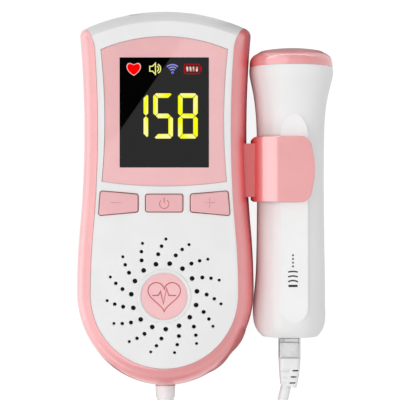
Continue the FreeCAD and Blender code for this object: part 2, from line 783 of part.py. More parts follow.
# ---- clip ----
def make_probe_clip():
    """U-shaped spring clip that opens to the right, on a neck held in the band."""
    low, high = clip_z
    reach = clip_x[1] + 5
    outer = [(reach, 0, low), (clip_x[0], 0, low), (clip_x[0], 0, high), (reach, 0, high)]
    inner = [
        (reach + 1, 0, low + clip_wall),
        (clip_x[0] + clip_wall, 0, low + clip_wall),
        (clip_x[0] + clip_wall, 0, high - clip_wall),
        (reach + 1, 0, high - clip_wall),
    ]
    run = Vector(0, clip_y[1] - clip_y[0] + 4, 0)
    start = Vector(0, clip_y[0] - 2, 0)
    bend = clip_bend
    block = Part.Face(Part.Wire(rounded_path(outer, [0, bend, bend, 0]))).translated(start).extrude(run)
    space = Part.Face(Part.Wire(rounded_path(inner, [0, bend - clip_wall, bend - clip_wall, 0])))
    space = space.translated(start).extrude(run)
    left, right = clip_x[0] - 0.2, clip_x[1] + 0.4
    corners = [
        (left, clip_y[0]),
        (right - clip_bulge, clip_y[0]),
        (right, (clip_y[0] + clip_y[1]) / 2),
        (right - clip_bulge, clip_y[1]),
        (left, clip_y[1]),
    ]
    plan = prism(rounded_outline(corners, [1.8, 4.0, 30.0, 4.0, 1.8]), (0, far))
    solid = block.common(plan)
    solid = solid.makeFillet(clip_edge, [e for e in solid.Edges if is_clip_rim(e)])
    neck = box((neck_x, clip_x[0] + 1), neck_y, neck_z)
    parts["probe_clip"] = join([solid.cut(space), neck])


def is_clip_rim(edge):
    """Whether an edge runs round the clip's upper or lower face, or over its bend."""
    span = edge.BoundBox
    return span.ZMin > clip_z[1] - clip_bend - 0.1 or span.ZMax < clip_z[0] + clip_bend + 0.1


# ---- probe ----
def probe_section(y, half_width, half_depth, flatness, shift, offset):
    """Closed curve of one cross-section: an ellipse, or flat in front with sloping flanks, or between."""
    wide, deep = half_width + offset, half_depth + offset
    flank_reach = flank_start + half_depth + offset * math.sqrt(2)
    points = []
    for step in range(section_points):
        angle = 2 * math.pi * step / section_points
        c, s = math.cos(angle), math.sin(angle)
        limits = (abs(c) / wide, abs(s) / deep, (abs(c) + abs(s)) / flank_reach)
        flanked = sum(limit ** flank_sharpness for limit in limits) ** (-1 / flank_sharpness)
        elliptic = 1 / math.hypot(c / wide, s / deep)
        radius = flatness * flanked + (1 - flatness) * elliptic
        points.append(Vector(probe_x - shift + radius * c, y, probe_z + radius * s))
    curve = Part.BSplineCurve()
    curve.interpolate(points, PeriodicFlag=True)
    return Part.Wire(curve.toShape())


def probe_form(offset, ends=None):
    """The probe's body, grown by an offset."""
    sections = [s for s in probe_sections if ends is None or ends[0] < s[0] < ends[1]]
    if ends is not None:
        first = min(sections, key=lambda s: s[0])
        last = max(sections, key=lambda s: s[0])
        sections = [(ends[0],) + first[1:]] + sections + [(ends[1],) + last[1:]]
    return Part.makeLoft([probe_section(*s, offset) for s in sections], True, False)


def probe_axis(y):
    return (probe_x, y, probe_z)


def make_probe():
    outside = probe_form(0)
    inside = probe_form(-probe_wall, (-47.4, 46.0))
    spigot_inner = head_bore - gap - probe_wall
    spigot = tube(head_bore - gap, spigot_inner, probe_axis(44.5), probe_axis(head_shelf_y - gap))
    shell = join([outside.cut(inside).cut(rod(spigot_inner, probe_axis(40), probe_axis(60))), spigot])
    mouth_z = about(probe_z, plug_depth + 0.2)
    mouth = box(about(plug_x, plug_half + slide_fit), (-far, plug_y[1] - 3), mouth_z)
    label = label_prism()
    core = probe_form(-label_sunk)
    shell = shell.cut(mouth).cut(label.cut(core))
    parts["probe_front_shell"] = shell.common(slab(probe_z, far))
    parts["probe_rear_shell"] = shell.common(slab(-far, probe_z))
    parts["probe_label_plate"] = label_slab().common(label).cut(core)


def label_slab():
    """Slab that follows the probe's front along its length and is flat from side to side."""
    curve = Part.BSplineCurve()
    curve.interpolate([Vector(label_x - 20, s[0], probe_z + s[2] + label_proud) for s in probe_sections])
    foot, tip = curve.StartPoint, curve.EndPoint
    down_foot, down_tip = Vector(foot.x, foot.y, probe_z), Vector(tip.x, tip.y, probe_z)
    edges = [curve.toShape(), line(tip, down_tip), line(down_tip, down_foot), line(down_foot, foot)]
    return Part.Face(Part.Wire(edges)).extrude(Vector(40, 0, 0))


def label_prism():
    """Tall plan outline of the label plate: long half-ellipse on top, rounder one below."""
    low, high = label_y[0] + label_foot, label_y[1] - label_tip
    left, right = label_x - label_half, label_x + label_half
    top = Part.Ellipse(Vector(label_x, label_y[1], 0), Vector(right, high, 0), Vector(label_x, high, 0))
    foot = Part.Ellipse(Vector(label_x, label_y[0], 0), Vector(right, low, 0), Vector(label_x, low, 0))
    top_arc = top.toShape().cut(box((0, 90), (-90, high), (-1, 1)))
    foot_arc = foot.toShape().cut(box((0, 90), (low, 90), (-1, 1)))
    sides = [line(Vector(x, low, 0), Vector(x, high, 0)) for x in (left, right)]
    wire = Part.Wire(Part.__sortEdges__(top_arc.Edges + foot_arc.Edges + sides))
    return prism(wire, (probe_z + 4, probe_z + 20))


def make_probe_head():
    """Pink ring with a rounded corner, and what it holds: lens, crystals and their backing."""
    inner = lens_radius + gap
    rim_y = probe_top_y - lens_dome + math.sqrt(lens_dome ** 2 - inner ** 2)
    corners = [
        (head_radius, head_y + gap, 0),
        (head_radius, head_corner_y, 0),
        (inner, rim_y, 0),
        (inner, head_shelf_y, 0),
        (head_bore, head_shelf_y, 0),
        (head_bore, head_y + gap, 0),
    ]
    face = Part.Face(Part.Wire(rounded_path(corners, [0, head_round, 0, 0, 0, 0])))
    ring = face.revolve(Vector(0, 0, 0), Vector(0, 1, 0), 360)
    parts["probe_head_ring"] = ring.translated(Vector(probe_x, 0, probe_z))
    ball = Part.makeSphere(lens_dome, Vector(probe_x, probe_top_y - lens_dome, probe_z))
    parts["acoustic_lens"] = ball.common(rod(lens_radius, probe_axis(lens_foot_y), probe_axis(60)))
    crystal_y = lens_foot_y - gap - crystal_thick
    disc = rod(crystal_radius, probe_axis(crystal_y), probe_axis(lens_foot_y - gap))
    half_gap = Vector(crystal_gap / 2, 0, 0)
    right = box((probe_x, far), (-far, far), (-far, far))
    left = box((-far, probe_x), (-far, far), (-far, far))
    parts["transmit_crystal"] = disc.common(left.translated(-half_gap))
    parts["receive_crystal"] = disc.common(right.translated(half_gap))
    parts["crystal_backing"] = rod(lens_radius - gap, probe_axis(backing_y), probe_axis(crystal_y - gap))


def make_probe_inside():
    thick = board_z[1] - board_z[0]
    parts["probe_board"] = box(about(probe_x, 8), probe_board_y, about(probe_z, thick / 2))
    top = probe_z + thick / 2
    # x from the axis, y, half-width, half-depth and height of each chip
    chips = ((0.0, 18.0, 4.0, 4.0, 1.4), (0.0, -3.0, 3.0, 3.0, 1.2), (-4.5, -17.0, 1.5, 3.0, 2.2))
    bodies = [
        box(about(probe_x + x, wide), about(y, deep), (top, top + tall)) for x, y, wide, deep, tall in chips
    ]
    cans = [boss((probe_x + 4, y), (top, top + 4.5), 2.2) for y in (-18, 29)]
    parts["probe_components"] = group(bodies + cans)
    shell = box(about(plug_x, plug_half + socket_wall), socket_y, about(probe_z, plug_depth + socket_wall))
    space = box(about(plug_x, plug_half + 0.1), (-far, plug_y[1] + 0.4), about(probe_z, plug_depth + 0.1))
    parts["probe_socket"] = shell.cut(space)


# ---- plug, cable and strain relief ----
def make_plug():
    """Clear modular plug with four blades; its tail shows a window and two cross grooves."""
    z = (probe_z - plug_depth, probe_z + plug_depth)
    body = box((plug_x - plug_half, plug_x + plug_half), plug_y, z)
    cuts = [box((plug_x - 2.7, plug_x + 2.7), plug_window_y, (z[1] - 0.5, z[1] + 1))]
    cuts += [box((plug_x - 5, plug_x + 5), y, (z[1] - 0.45, z[1] + 1)) for y in plug_groove_y]
    pocket_y = (plug_groove_y[1][0], plug_groove_y[0][1])
    cuts.append(box((plug_x - 5, plug_x - 2.3), pocket_y, (z[1] - 0.45, z[1] + 1)))
    blades = []
    for step in (-1.5, -0.5, 0.5, 1.5):
        x = plug_x + blade_pitch * step
        cuts.append(box((x - 0.3, x + 0.3), (-45.0, -40), (z[0] - 1, z[0] + 1.6)))
        blades.append(box((x - 0.25, x + 0.25), (-44.9, -41.2), (z[0] + 0.2, z[0] + 1.55)))
    parts["plug_body"] = body.cut(group(cuts))
    parts["plug_contacts"] = group(blades)


def make_boot():
    """Soft boot between plug and cable, slotted on the right so that it bends."""
    sections = [
        boot_section(plug_y[0], plug_x, 3.85, 3.3, 0),
        boot_section(-61.0, plug_x - 0.05, 3.7, 3.2, 3.0),
        boot_section(boot_end_y, boot_end_x, 2.95, 2.9, boot_turn_deg),
    ]
    boot = Part.makeLoft(sections, True, False)
    cuts = []
    for y, reach in zip(boot_slot_y, (47.9, 47.3, 46.85)):
        deep, shallow = (probe_z - 1.5, probe_z + 5), (probe_z + 2.55, probe_z + 5)
        cuts.append(box((reach - 2.1, reach), (y - 0.28, y + 0.28), deep))
        cuts.append(box((39, reach - 3.4), (y - 0.5, y + 0.5), shallow))
    parts["plug_boot"] = boot.cut(group(cuts))


def boot_section(y, x, half_width, half_depth, turn_deg):
    """Rounded rectangle across the boot, turned about Z."""
    low, high = -half_depth, half_depth
    corners = [(-half_width, 0, low), (half_width, 0, low), (half_width, 0, high), (-half_width, 0, high)]
    wire = Part.Wire(rounded_path(corners, [1.6] * 4))
    wire.rotate(Vector(0, 0, 0), Vector(0, 0, 1), -turn_deg)
    return wire.translated(Vector(x, y, probe_z))


def make_strain_relief():
    """Grooved, tapered sleeve that grips the cable where it leaves the case."""
    neck_radius = slot_radius - gap
    profile = [(0, -61.4), (4.4, -61.4), (4.4, -62.6), (neck_radius, -62.6), (neck_radius, bottom_y - 0.1)]
    radius, y = 3.6, bottom_y - 0.1
    for length in (4.4, 2.2, 2.2):
        profile.append((radius, y))
        profile.append((radius - 0.2, y - length))
        profile.append((radius - 0.6, y - length - 0.2))
        profile.append((radius - 0.6, y - length - 1.0))
        radius, y = radius - 0.3, y - length - 1.2
    profile += [(radius, y), (radius - 0.2, relief_tip_y), (0, relief_tip_y)]
    points = [Vector(r, y, 0) for r, y in profile]
    face = Part.Face(Part.makePolygon(points + points[:1]))
    sleeve = face.revolve(Vector(0, 0, 0), Vector(0, 1, 0), 360)
    parts["strain_relief"] = sleeve.translated(Vector(0, 0, relief_z))


unit_lead_route = (
    (0.0, relief_tip_y, relief_z),
    (0.1, -97.0, 14.7),
    (-1.9, -109.0, 9.2),
    (-5.6, -120.0, 4.4),
    (-7.6, -131.0, 2.6),
    (-7.7, coil_y, 2.5),
)
# square to the boot's end face, 0.7 left of its middle
probe_lead_route = (
    (43.76, -67.48, probe_z),
    (41.75, -75.54, probe_z),
    (40.9, -86.5, 13.6),
    (42.4, -99.5, 9.8),
    (44.4, -112.0, 7.3),
    (44.8, -125.0, 6.4),
    (44.7, coil_y, 6.3),
)


def cord_tube(name, route):
    """Cable stretch of straight runs and tangent arcs, as large as the runs allow."""
    points = [Vector(*p) for p in route]
    radii = [0]
    for i in range(1, len(points) - 1):
        before, after = points[i] - points[i - 1], points[i + 1] - points[i]
        shorter = min(before.Length, after.Length)
        radii.append(0.45 * shorter / math.tan(before.getAngle(after) / 2))
    radii.append(0)
    path = Part.Wire(rounded_path(route, radii, closed=False))
    start = Part.Wire(Part.makeCircle(cord_diameter / 2, points[0], points[1] - points[0]))
    solid = path.makePipeShell([start], True, False)
    expected = math.pi * cord_diameter ** 2 / 4 * path.Length
    print(name, "radii", [round(r, 1) for r in radii[1:-1]], "length", round(path.Length, 1),
          "volume share", round(solid.Volume / expected, 4))
    parts[name] = solid


def make_coil():
    """Outer form of the wound cable, and the strap that ties it."""
    half_width = coil_spread + cord_diameter / 2
    low, high = coil_rise, coil_rise + 2 * cord_diameter
    inner, outer = coil_mean_radius - half_width, coil_mean_radius + half_width
    corners = [(inner, low, 0), (outer, low, 0), (outer, high, 0), (inner, high, 0)]
    face = Part.Face(Part.Wire(rounded_path(corners, [cord_diameter / 2] * 4)))
    ring = face.revolve(Vector(0, 0, 0), Vector(0, 1, 0), 360)
    ring.rotate(Vector(0, 0, 0), Vector(1, 0, 0), 90)
    centre = Vector(coil_x, coil_y, 0)
    parts["cord_coil"] = ring.translated(centre)
    strap, thick = 5.0, 0.5
    frame_low, frame_high = -outer - 0.1 - thick, -inner + 0.4 + thick
    loop = box((-strap / 2, strap / 2), (frame_low, frame_high), (0, high + 0.1 + thick))
    hole = box((-strap, strap), (frame_low + thick, frame_high - thick), (thick, high + 0.1))
    parts["cord_tie"] = loop.cut(hole).translated(centre)


# ---- build ----
def main():
    os.makedirs("parts", exist_ok=True)
    envelope = case_envelope()
    outer = covers_outer(envelope)
    hollow = cavity()
    make_side_band(envelope)
    make_front_cover(outer, hollow)
    make_rear_cover(outer, hollow)
    make_case_screws()
    make_display()
    for name in ("minus", "power", "plus"):
        make_key(name)
    make_switches()
    make_speaker()
    make_board()
    make_headphone_jack()
    make_cells()
    make_battery_door(envelope)
    make_probe_clip()
    make_probe()
    make_probe_head()
    make_probe_inside()
    make_plug()
    make_boot()
    make_strain_relief()
    cord_tube("cord_lead_unit", unit_lead_route)
    cord_tube("cord_lead_probe", probe_lead_route)
    make_coil()
    for name, shape in parts.items():
        bad = [s for s in shape.Solids if not s.isValid() or s.Volume <= 0]
        print(name, "solids", len(shape.Solids), "volume", round(shape.Volume, 1), "BAD" if bad else "")
        shape.exportStep("parts/" + name + ".step")


main()
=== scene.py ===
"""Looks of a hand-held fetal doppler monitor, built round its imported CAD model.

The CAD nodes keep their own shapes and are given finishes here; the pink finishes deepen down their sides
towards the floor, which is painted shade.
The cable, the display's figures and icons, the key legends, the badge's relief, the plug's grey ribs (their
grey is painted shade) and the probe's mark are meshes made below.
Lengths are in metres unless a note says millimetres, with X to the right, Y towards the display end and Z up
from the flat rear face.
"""

import json
import math

import bmesh
import bpy
from bpy.props import FloatProperty, FloatVectorProperty, PointerProperty, StringProperty
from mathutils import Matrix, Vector
from mathutils.bvhtree import BVHTree


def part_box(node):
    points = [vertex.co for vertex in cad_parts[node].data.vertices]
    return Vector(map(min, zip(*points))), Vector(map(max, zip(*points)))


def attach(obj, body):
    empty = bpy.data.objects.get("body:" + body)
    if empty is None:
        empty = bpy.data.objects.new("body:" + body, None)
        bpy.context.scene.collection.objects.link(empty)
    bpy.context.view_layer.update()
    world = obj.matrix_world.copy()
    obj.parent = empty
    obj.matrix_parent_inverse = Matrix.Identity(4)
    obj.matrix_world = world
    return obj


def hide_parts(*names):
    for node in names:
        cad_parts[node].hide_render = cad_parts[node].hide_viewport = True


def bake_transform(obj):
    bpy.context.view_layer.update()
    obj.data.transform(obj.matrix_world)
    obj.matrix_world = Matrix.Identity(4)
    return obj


bl_info = {
    "name": "Fetal doppler monitor looks",
    "version": (1, 0, 0),
    "blender": (4, 5, 0),
    "location": "View3D > Sidebar > Doppler",
    "description": "Cable, display figures, legends, prints and finishes for a fetal doppler monitor",
    "category": "Object",
}

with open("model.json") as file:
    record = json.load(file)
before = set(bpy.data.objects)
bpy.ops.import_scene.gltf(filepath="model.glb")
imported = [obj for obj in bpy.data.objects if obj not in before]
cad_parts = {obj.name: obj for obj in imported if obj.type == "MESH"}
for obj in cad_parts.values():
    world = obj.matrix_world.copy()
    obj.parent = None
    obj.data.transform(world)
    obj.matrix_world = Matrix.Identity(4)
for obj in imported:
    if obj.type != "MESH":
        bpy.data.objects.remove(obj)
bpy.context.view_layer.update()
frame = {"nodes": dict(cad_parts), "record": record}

MM = 0.001
VIEW_CENTRE = (12.55 * MM, -0.6 * MM)  # the camera stands over this point
SPEAKER = Vector((0, -34.4)) * MM
PROUD = 0.03 * MM                      # how far prints and figures stand off what carries them
SUNK = 0.02 * MM                       # and how far they reach into it
GRAIN = 0.35 * MM                      # size of the spark grain on moulded surfaces
GRAIN_DEPTH = 0.003 * MM


def srgb(red, green, blue):
    """Linear colour of an 8-bit display colour."""
    parts = [v / 255 for v in (red, green, blue)]
    return tuple(v / 12.92 if v <= 0.04045 else ((v + 0.055) / 1.055) ** 2.4 for v in parts)


# ---- settings ----
def colour(name, description, default):
    return FloatVectorProperty(
        name=name, description=description, subtype="COLOR", size=3, min=0, max=1, default=default
    )


def length(name, description, default):
    return FloatProperty(name=name, description=description, default=default, unit="LENGTH", min=0)


def watts(name, description, default):
    return FloatProperty(name=name, description=description, default=default, unit="POWER", min=0)


class DopplerCase(bpy.types.PropertyGroup):
    """Colours of the moulded case and probe."""

    white: colour("White", "Covers and battery door", srgb(237, 237, 237))
    probe: colour("Probe white", "Shells of the probe", srgb(241, 241, 241))
    band: colour("Band pink", "Band round the sides", srgb(239, 161, 163))
    clip: colour("Clip pink", "Probe clip", srgb(243, 167, 168))
    # Low pink and clip low pink are painted shade: the band, keys and clip are coloured deeper towards the
    # floor, as if in shadow.
    low: colour("Low pink", "Deeper pink low on the band's sides", srgb(236, 104, 108))
    clip_shade: colour("Clip low pink", "Deeper pink low on the clip's side", srgb(224, 88, 90))
    panel: colour("Panel pink", "Display panel", srgb(244, 187, 189))
    keys: colour("Key pink", "Key caps", srgb(235, 180, 183))
    badge: colour("Badge pink", "Disc in the speaker's centre", srgb(246, 194, 196))
    head: colour("Head pink", "Ring at the probe's head", srgb(241, 166, 167))
    # Head low pink is painted shade: the head is coloured deeper towards the floor, as if in shadow.
    head_shade: colour("Head low pink", "Deeper pink low on the probe's head", srgb(252, 134, 138))
    faint: colour("Faint pink", "Legends of the minus and plus keys", srgb(224, 148, 152))
    relief: colour("Relief pink", "Sunk legends and the badge's relief", srgb(205, 105, 115))


class DopplerDisplay(bpy.types.PropertyGroup):
    """What the display shows and how large."""

    reading: StringProperty(name="Reading", description="Digits shown, at most three", default="158")
    digit_height: length("Digit height", "Height of one digit", 15.9 * MM)
    digit_width: length("Digit width", "Width of one digit", 6.95 * MM)
    digit_pitch: length("Digit pitch", "Centre to centre of two digits", 8.71 * MM)
    stroke: length("Stroke", "Width of one segment", 1.62 * MM)
    core: colour("Digit colour", "Colour along the middle of a segment", srgb(252, 255, 20))
    edge: colour("Digit edge", "Paler colour round a segment", srgb(255, 252, 150))


class DopplerCable(bpy.types.PropertyGroup):
    """Cable between the case and the probe."""

    diameter: length("Diameter", "Outer diameter of the cable", 3.8 * MM)
    turns: FloatProperty(name="Turns", description="Turns of the tied coil", default=5.5, min=0.5)
    coil_radius: length("Coil radius", "Radius at the middle of the coil's turns", 21.0 * MM)
    sheath: colour("Sheath", "Cable, boot and strain relief", srgb(240, 240, 240))


class DopplerStage(bpy.types.PropertyGroup):
    """Camera and light."""

    height: length("Camera height", "Camera above the floor", 486 * MM)
    focal: FloatProperty(name="Focal length", description="In millimetres", default=116.96, min=1)
    key: watts("Key light", "Power of the large left lamp", 6.5)
    fill: watts("Fill light", "Power of the low right lamp", 4.8)
    foot: watts("Foot light", "Power of the lamp at the foot", 2.9)
    back: watts("Back light", "Power of the lamp behind the display end", 2.1)
    sky: FloatProperty(name="Sky", description="Strength of the even light from all round", default=0.37)


SETTINGS = {
    "doppler_case": DopplerCase,
    "doppler_display": DopplerDisplay,
    "doppler_cable": DopplerCable,
    "doppler_stage": DopplerStage,
}


# ---- finishes ----
class Finish:
    """A node material being built round one Principled shader."""

    def __init__(self, name, base, **sockets):
        self.base = base
        self.material = bpy.data.materials.new(name)
        self.material.use_nodes = True
        self.tree = self.material.node_tree
        self.shader = self.tree.nodes["Principled BSDF"]
        self.place = self.add("ShaderNodeTexCoord").outputs["Object"]
        self.shader.inputs["Base Color"].default_value = (*base, 1)
        for socket, value in sockets.items():
            self.shader.inputs[socket.replace("_", " ")].default_value = value

    def add(self, kind, **values):
        node = self.tree.nodes.new(kind)
        for key, value in values.items():
            setattr(node, key, value)
        return node

    def link(self, output, target):
        self.tree.links.new(output, target)

    def noise(self, size, detail=3.0, stretch=(1, 1, 1)):
        """Factor of a noise whose features are about size across."""
        mapping = self.add("ShaderNodeMapping")
        mapping.inputs["Scale"].default_value = stretch
        self.link(self.place, mapping.inputs["Vector"])
        noise = self.add("ShaderNodeTexNoise")
        noise.inputs["Scale"].default_value = 1 / size
        noise.inputs["Detail"].default_value = detail
        self.link(mapping.outputs["Vector"], noise.inputs["Vector"])
        return noise.outputs["Fac"]

    def ramp(self, factor, low, high):
        """Factor stretched from low..high to 0..1, smoothly."""
        spread = self.add("ShaderNodeMapRange", interpolation_type="SMOOTHSTEP")
        spread.inputs["From Min"].default_value = low
        spread.inputs["From Max"].default_value = high
        self.link(factor, spread.inputs["Value"])
        return spread.outputs["Result"]

    def mix(self, factor, first, second):
        """Colour between two colours."""
        mix = self.add("ShaderNodeMix", data_type="RGBA")
        self.link(factor, mix.inputs["Factor"])
        for socket, value in (("A", first), ("B", second)):
            entry = next(i for i in mix.inputs if i.name == socket and i.type == "RGBA")
            if isinstance(value, bpy.types.NodeSocket):
                self.link(value, entry)
            else:
                entry.default_value = (*value, 1)
        return next(o for o in mix.outputs if o.type == "RGBA")

    def paint(self, output):
        self.link(output, self.shader.inputs["Base Color"])

    def mottle(self, share, size):
        """Base colour that drifts lighter and darker by a share."""
        dark = tuple(v * (1 - share) for v in self.base)
        light = tuple(min(1.0, v * (1 + share)) for v in self.base)
        painted = self.mix(self.ramp(self.noise(size), 0.3, 0.7), dark, light)
        self.paint(painted)
        return painted

    def roughen(self, low, high, size):
        spread = self.add("ShaderNodeMapRange")
        spread.inputs["To Min"].default_value = low
        spread.inputs["To Max"].default_value = high
        self.link(self.noise(size), spread.inputs["Value"])
        self.link(spread.outputs["Result"], self.shader.inputs["Roughness"])

    def bump(self, height, depth):
        """Surface relief of that depth from a height factor, on top of any relief already there."""
        bump = self.add("ShaderNodeBump")
        bump.inputs["Distance"].default_value = depth
        self.link(height, bump.inputs["Height"])
        target = self.shader.inputs["Normal"]
        if target.is_linked:
            self.link(target.links[0].from_socket, bump.inputs["Normal"])
        self.link(bump.outputs["Normal"], target)


def moulded(name, base, rough=(0.32, 0.42), **sockets):
    """Injection-moulded plastic: a faint spark grain, a drift of colour and uneven gloss."""
    finish = Finish(name, base, **sockets)
    finish.mottle(0.015, 14 * MM)
    finish.roughen(*rough, 5 * MM)
    finish.bump(finish.noise(GRAIN, 2.0), GRAIN_DEPTH)
    return finish.material


def soft_pink(name, base, low=None, span=None, **sockets):
    """Pink plastic that light enters a little way.

    With a low colour, it deepens to that colour down a span of heights, given in mm from low to high; this
    is painted shade on its lower sides.
    """
    finish = Finish(
        name,
        base,
        Subsurface_Weight=0.15,
        Subsurface_Radius=(1.0, 0.25, 0.22),
        Subsurface_Scale=1.2 * MM,
        **sockets,
    )
    upper = finish.mottle(0.02, 12 * MM)
    if low:
        # Painted shade: below the span the colour turns to the low colour.
        height = finish.add("ShaderNodeSeparateXYZ")
        finish.link(finish.place, height.inputs["Vector"])
        unshaded_share = finish.ramp(height.outputs["Z"], span[0] * MM, span[1] * MM)
        finish.paint(finish.mix(unshaded_share, low, upper))
    finish.roughen(0.3, 0.4, 5 * MM)
    finish.bump(finish.noise(GRAIN, 2.0), GRAIN_DEPTH)
    return finish.material


def dark_lens():
    """Black acrylic window, smooth, with the faintest smears."""
    finish = Finish("dark_lens", srgb(4, 4, 4))
    finish.mottle(0.2, 9 * MM)
    finish.roughen(0.005, 0.02, 6 * MM)
    return finish.material


def glow(name, middle, rim):
    """Lit segment or icon: its own colour along the middle and a paler one round it."""
    finish = Finish(name, (0, 0, 0), Roughness=0.4, Specular_IOR_Level=0.0)
    core = finish.add("ShaderNodeAttribute", attribute_name="core").outputs["Fac"]
    flicker = finish.ramp(finish.noise(0.5 * MM), 0.2, 0.8)
    inner = finish.mix(flicker, tuple(v * 0.96 for v in middle), middle)
    lit = finish.mix(finish.ramp(core, 0.15, 0.85), rim, inner)
    finish.link(lit, finish.shader.inputs["Emission Color"])
    finish.shader.inputs["Emission Strength"].default_value = 1.0
    return finish.material


def printed(name, base):
    """Pad-printed ink with slightly uneven cover."""
    finish = Finish(name, base)
    finish.mottle(0.25, 0.6 * MM)
    finish.roughen(0.35, 0.55, 1 * MM)
    return finish.material


def woven_mesh():
    """Black acoustic cloth: two crossed sets of threads."""
    span = 2.835 * MM                      # holds about 3.2 threads, so they lie 0.89 mm apart
    finish = Finish("woven_mesh", srgb(14, 14, 14), Roughness=0.8)
    finish.mottle(0.3, 2 * MM)
    for turn in (0.0, math.pi / 2):
        mapping = finish.add("ShaderNodeMapping")
        mapping.inputs["Rotation"].default_value = (0, 0, turn)
        finish.link(finish.place, mapping.inputs["Vector"])
        wave = finish.add("ShaderNodeTexWave")
        wave.inputs["Scale"].default_value = 1 / span
        finish.link(mapping.outputs["Vector"], wave.inputs["Vector"])
        finish.bump(wave.outputs["Fac"], 0.03 * MM)
    return finish.material


def metal(name, base, stretch=(1, 1, 1)):
    """Plated or drawn metal with fine scratches, which a stretch draws out along one direction."""
    finish = Finish(name, base, Metallic=1.0)
    finish.mottle(0.06, 3 * MM)
    finish.roughen(0.25, 0.4, 1 * MM)
    finish.bump(finish.noise(0.12 * MM, 2.0, stretch), 0.002 * MM)
    return finish.material


def foam(name, base):
    finish = Finish(name, base, Roughness=0.9)
    finish.mottle(0.3, 0.8 * MM)
    finish.bump(finish.noise(0.3 * MM, 4.0), 0.05 * MM)
    return finish.material


def circuit_board():
    """Green solder mask with tracks just showing through."""
    finish = Finish("circuit_board", srgb(20, 92, 50))
    cells = finish.add("ShaderNodeTexBrick", offset=0.4)
    cells.inputs["Scale"].default_value = 1 / (3 * MM)
    cells.inputs["Mortar Size"].default_value = 0.06
    for socket, value in (("Color1", (0, 0, 0)), ("Color2", (0, 0, 0)), ("Mortar", (1, 1, 1))):
        cells.inputs[socket].default_value = (*value, 1)
    finish.link(finish.place, cells.inputs["Vector"])
    finish.paint(finish.mix(cells.outputs["Color"], srgb(18, 84, 46), srgb(40, 122, 66)))
    finish.roughen(0.25, 0.4, 3 * MM)
    return finish.material


def clear_plug():
    """Clear polycarbonate with flow marks."""
    finish = Finish("clear_plug", srgb(238, 239, 240), Transmission_Weight=0.55, IOR=1.58)
    finish.mottle(0.03, 2 * MM)
    finish.roughen(0.08, 0.2, 2 * MM)
    finish.bump(finish.noise(1.2 * MM, 2.0, (1, 3, 1)), 0.01 * MM)
    return finish.material


def battery_jacket():
    """Dark film round a cell, with a metallic sheen."""
    finish = Finish("battery_jacket", srgb(60, 64, 70), Metallic=0.6)
    finish.mottle(0.08, 4 * MM)
    finish.roughen(0.25, 0.35, 4 * MM)
    return finish.material


def sheathed(name, base):
    """Cable sheath and soft boots: satin rubbery plastic."""
    depths = {"Subsurface_Radius": (1, 1, 1), "Subsurface_Scale": 0.6 * MM}
    finish = Finish(name, base, Subsurface_Weight=0.1, **depths)
    finish.mottle(0.02, 8 * MM)
    finish.roughen(0.38, 0.5, 3 * MM)
    finish.bump(finish.noise(0.25 * MM, 2.0), 0.004 * MM)
    return finish.material


def dress(finishes):
    """Gives every CAD node of the named material slots its finish."""
    for part in frame["record"]["subparts"]:
        if part["material_slot"] in finishes:
            node = frame["nodes"][part["node"]]
            node.data.materials.clear()
            node.data.materials.append(finishes[part["material_slot"]])


# ---- meshes ----
def keep(name, mesh, material, body):
    """Makes an object of a bmesh, dresses it and lets it ride on a body."""
    bmesh.ops.remove_doubles(mesh, verts=mesh.verts, dist=1e-7)
    bmesh.ops.recalc_face_normals(mesh, faces=mesh.faces)
    data = bpy.data.meshes.new(name)
    mesh.to_mesh(data)
    mesh.free()
    data.materials.append(material)
    piece = bpy.data.objects.new(name, data)
    bpy.context.scene.collection.objects.link(piece)
    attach(piece, body)


def core_layer(mesh):
    return mesh.verts.layers.float.get("core") or mesh.verts.layers.float.new("core")


def add_plate(mesh, outline, low, high, rim=0.0):
    """Flat plate of a closed (x, y) outline. With a rim, its top has an inner face marked as core."""
    layer = core_layer(mesh)
    bottom = [mesh.verts.new((x, y, low)) for x, y in outline]
    top = [mesh.verts.new((x, y, high)) for x, y in outline]
    count = len(outline)
    mesh.faces.new(list(reversed(bottom)))
    face = mesh.faces.new(top)
    for i in range(count):
        j = (i + 1) % count
        mesh.faces.new((bottom[i], bottom[j], top[j], top[i]))
    if rim:
        bmesh.ops.inset_region(mesh, faces=[face], thickness=rim, use_even_offset=True)
        for vertex in face.verts:
            vertex[layer] = 1.0


def add_stroke(mesh, points, width, low, high, closed=False, swell=0.0):
    """Ribbon of a constant width along (x, y) points; swell raises its middle into a low ridge."""
    core_layer(mesh)                       # stays at 0, so a lit stroke has its rim's colour
    sharpest = 0.35                        # cosine that keeps the mitre of a sharp corner short
    points = [Vector(p) for p in points]
    count = len(points)
    rows = []
    for i, point in enumerate(points):
        before = points[i - 1] if closed or i else point
        after = points[(i + 1) % count] if closed or i < count - 1 else point
        entry = (point - before).normalized() if point != before else None
        leave = (after - point).normalized() if after != point else None
        entry, leave = entry or leave, leave or entry
        along = (entry + leave).normalized()
        side = Vector((-along.y, along.x)) * (width / 2 / max(sharpest, along.dot(entry)))
        left, right = point + side, point - side
        rows.append(
            [
                mesh.verts.new((*left, low)),
                mesh.verts.new((*left, high)),
                mesh.verts.new((*point, high + swell)),
                mesh.verts.new((*right, high)),
                mesh.verts.new((*right, low)),
            ]
        )
    sides = len(rows[0])
    for i in range(count if closed else count - 1):
        here, there = rows[i], rows[(i + 1) % count]
        for k in range(sides):
            mesh.faces.new((here[k], there[k], there[(k + 1) % sides], here[(k + 1) % sides]))
    if not closed:
        mesh.faces.new(rows[0])
        mesh.faces.new(list(reversed(rows[-1])))


def arc(centre, radius, start_deg, end_deg, steps=16):
    """Points on an arc, both ends included."""
    angles = [math.radians(start_deg + (end_deg - start_deg) * k / steps) for k in range(steps + 1)]
    return [(centre[0] + radius * math.cos(a), centre[1] + radius * math.sin(a)) for a in angles]


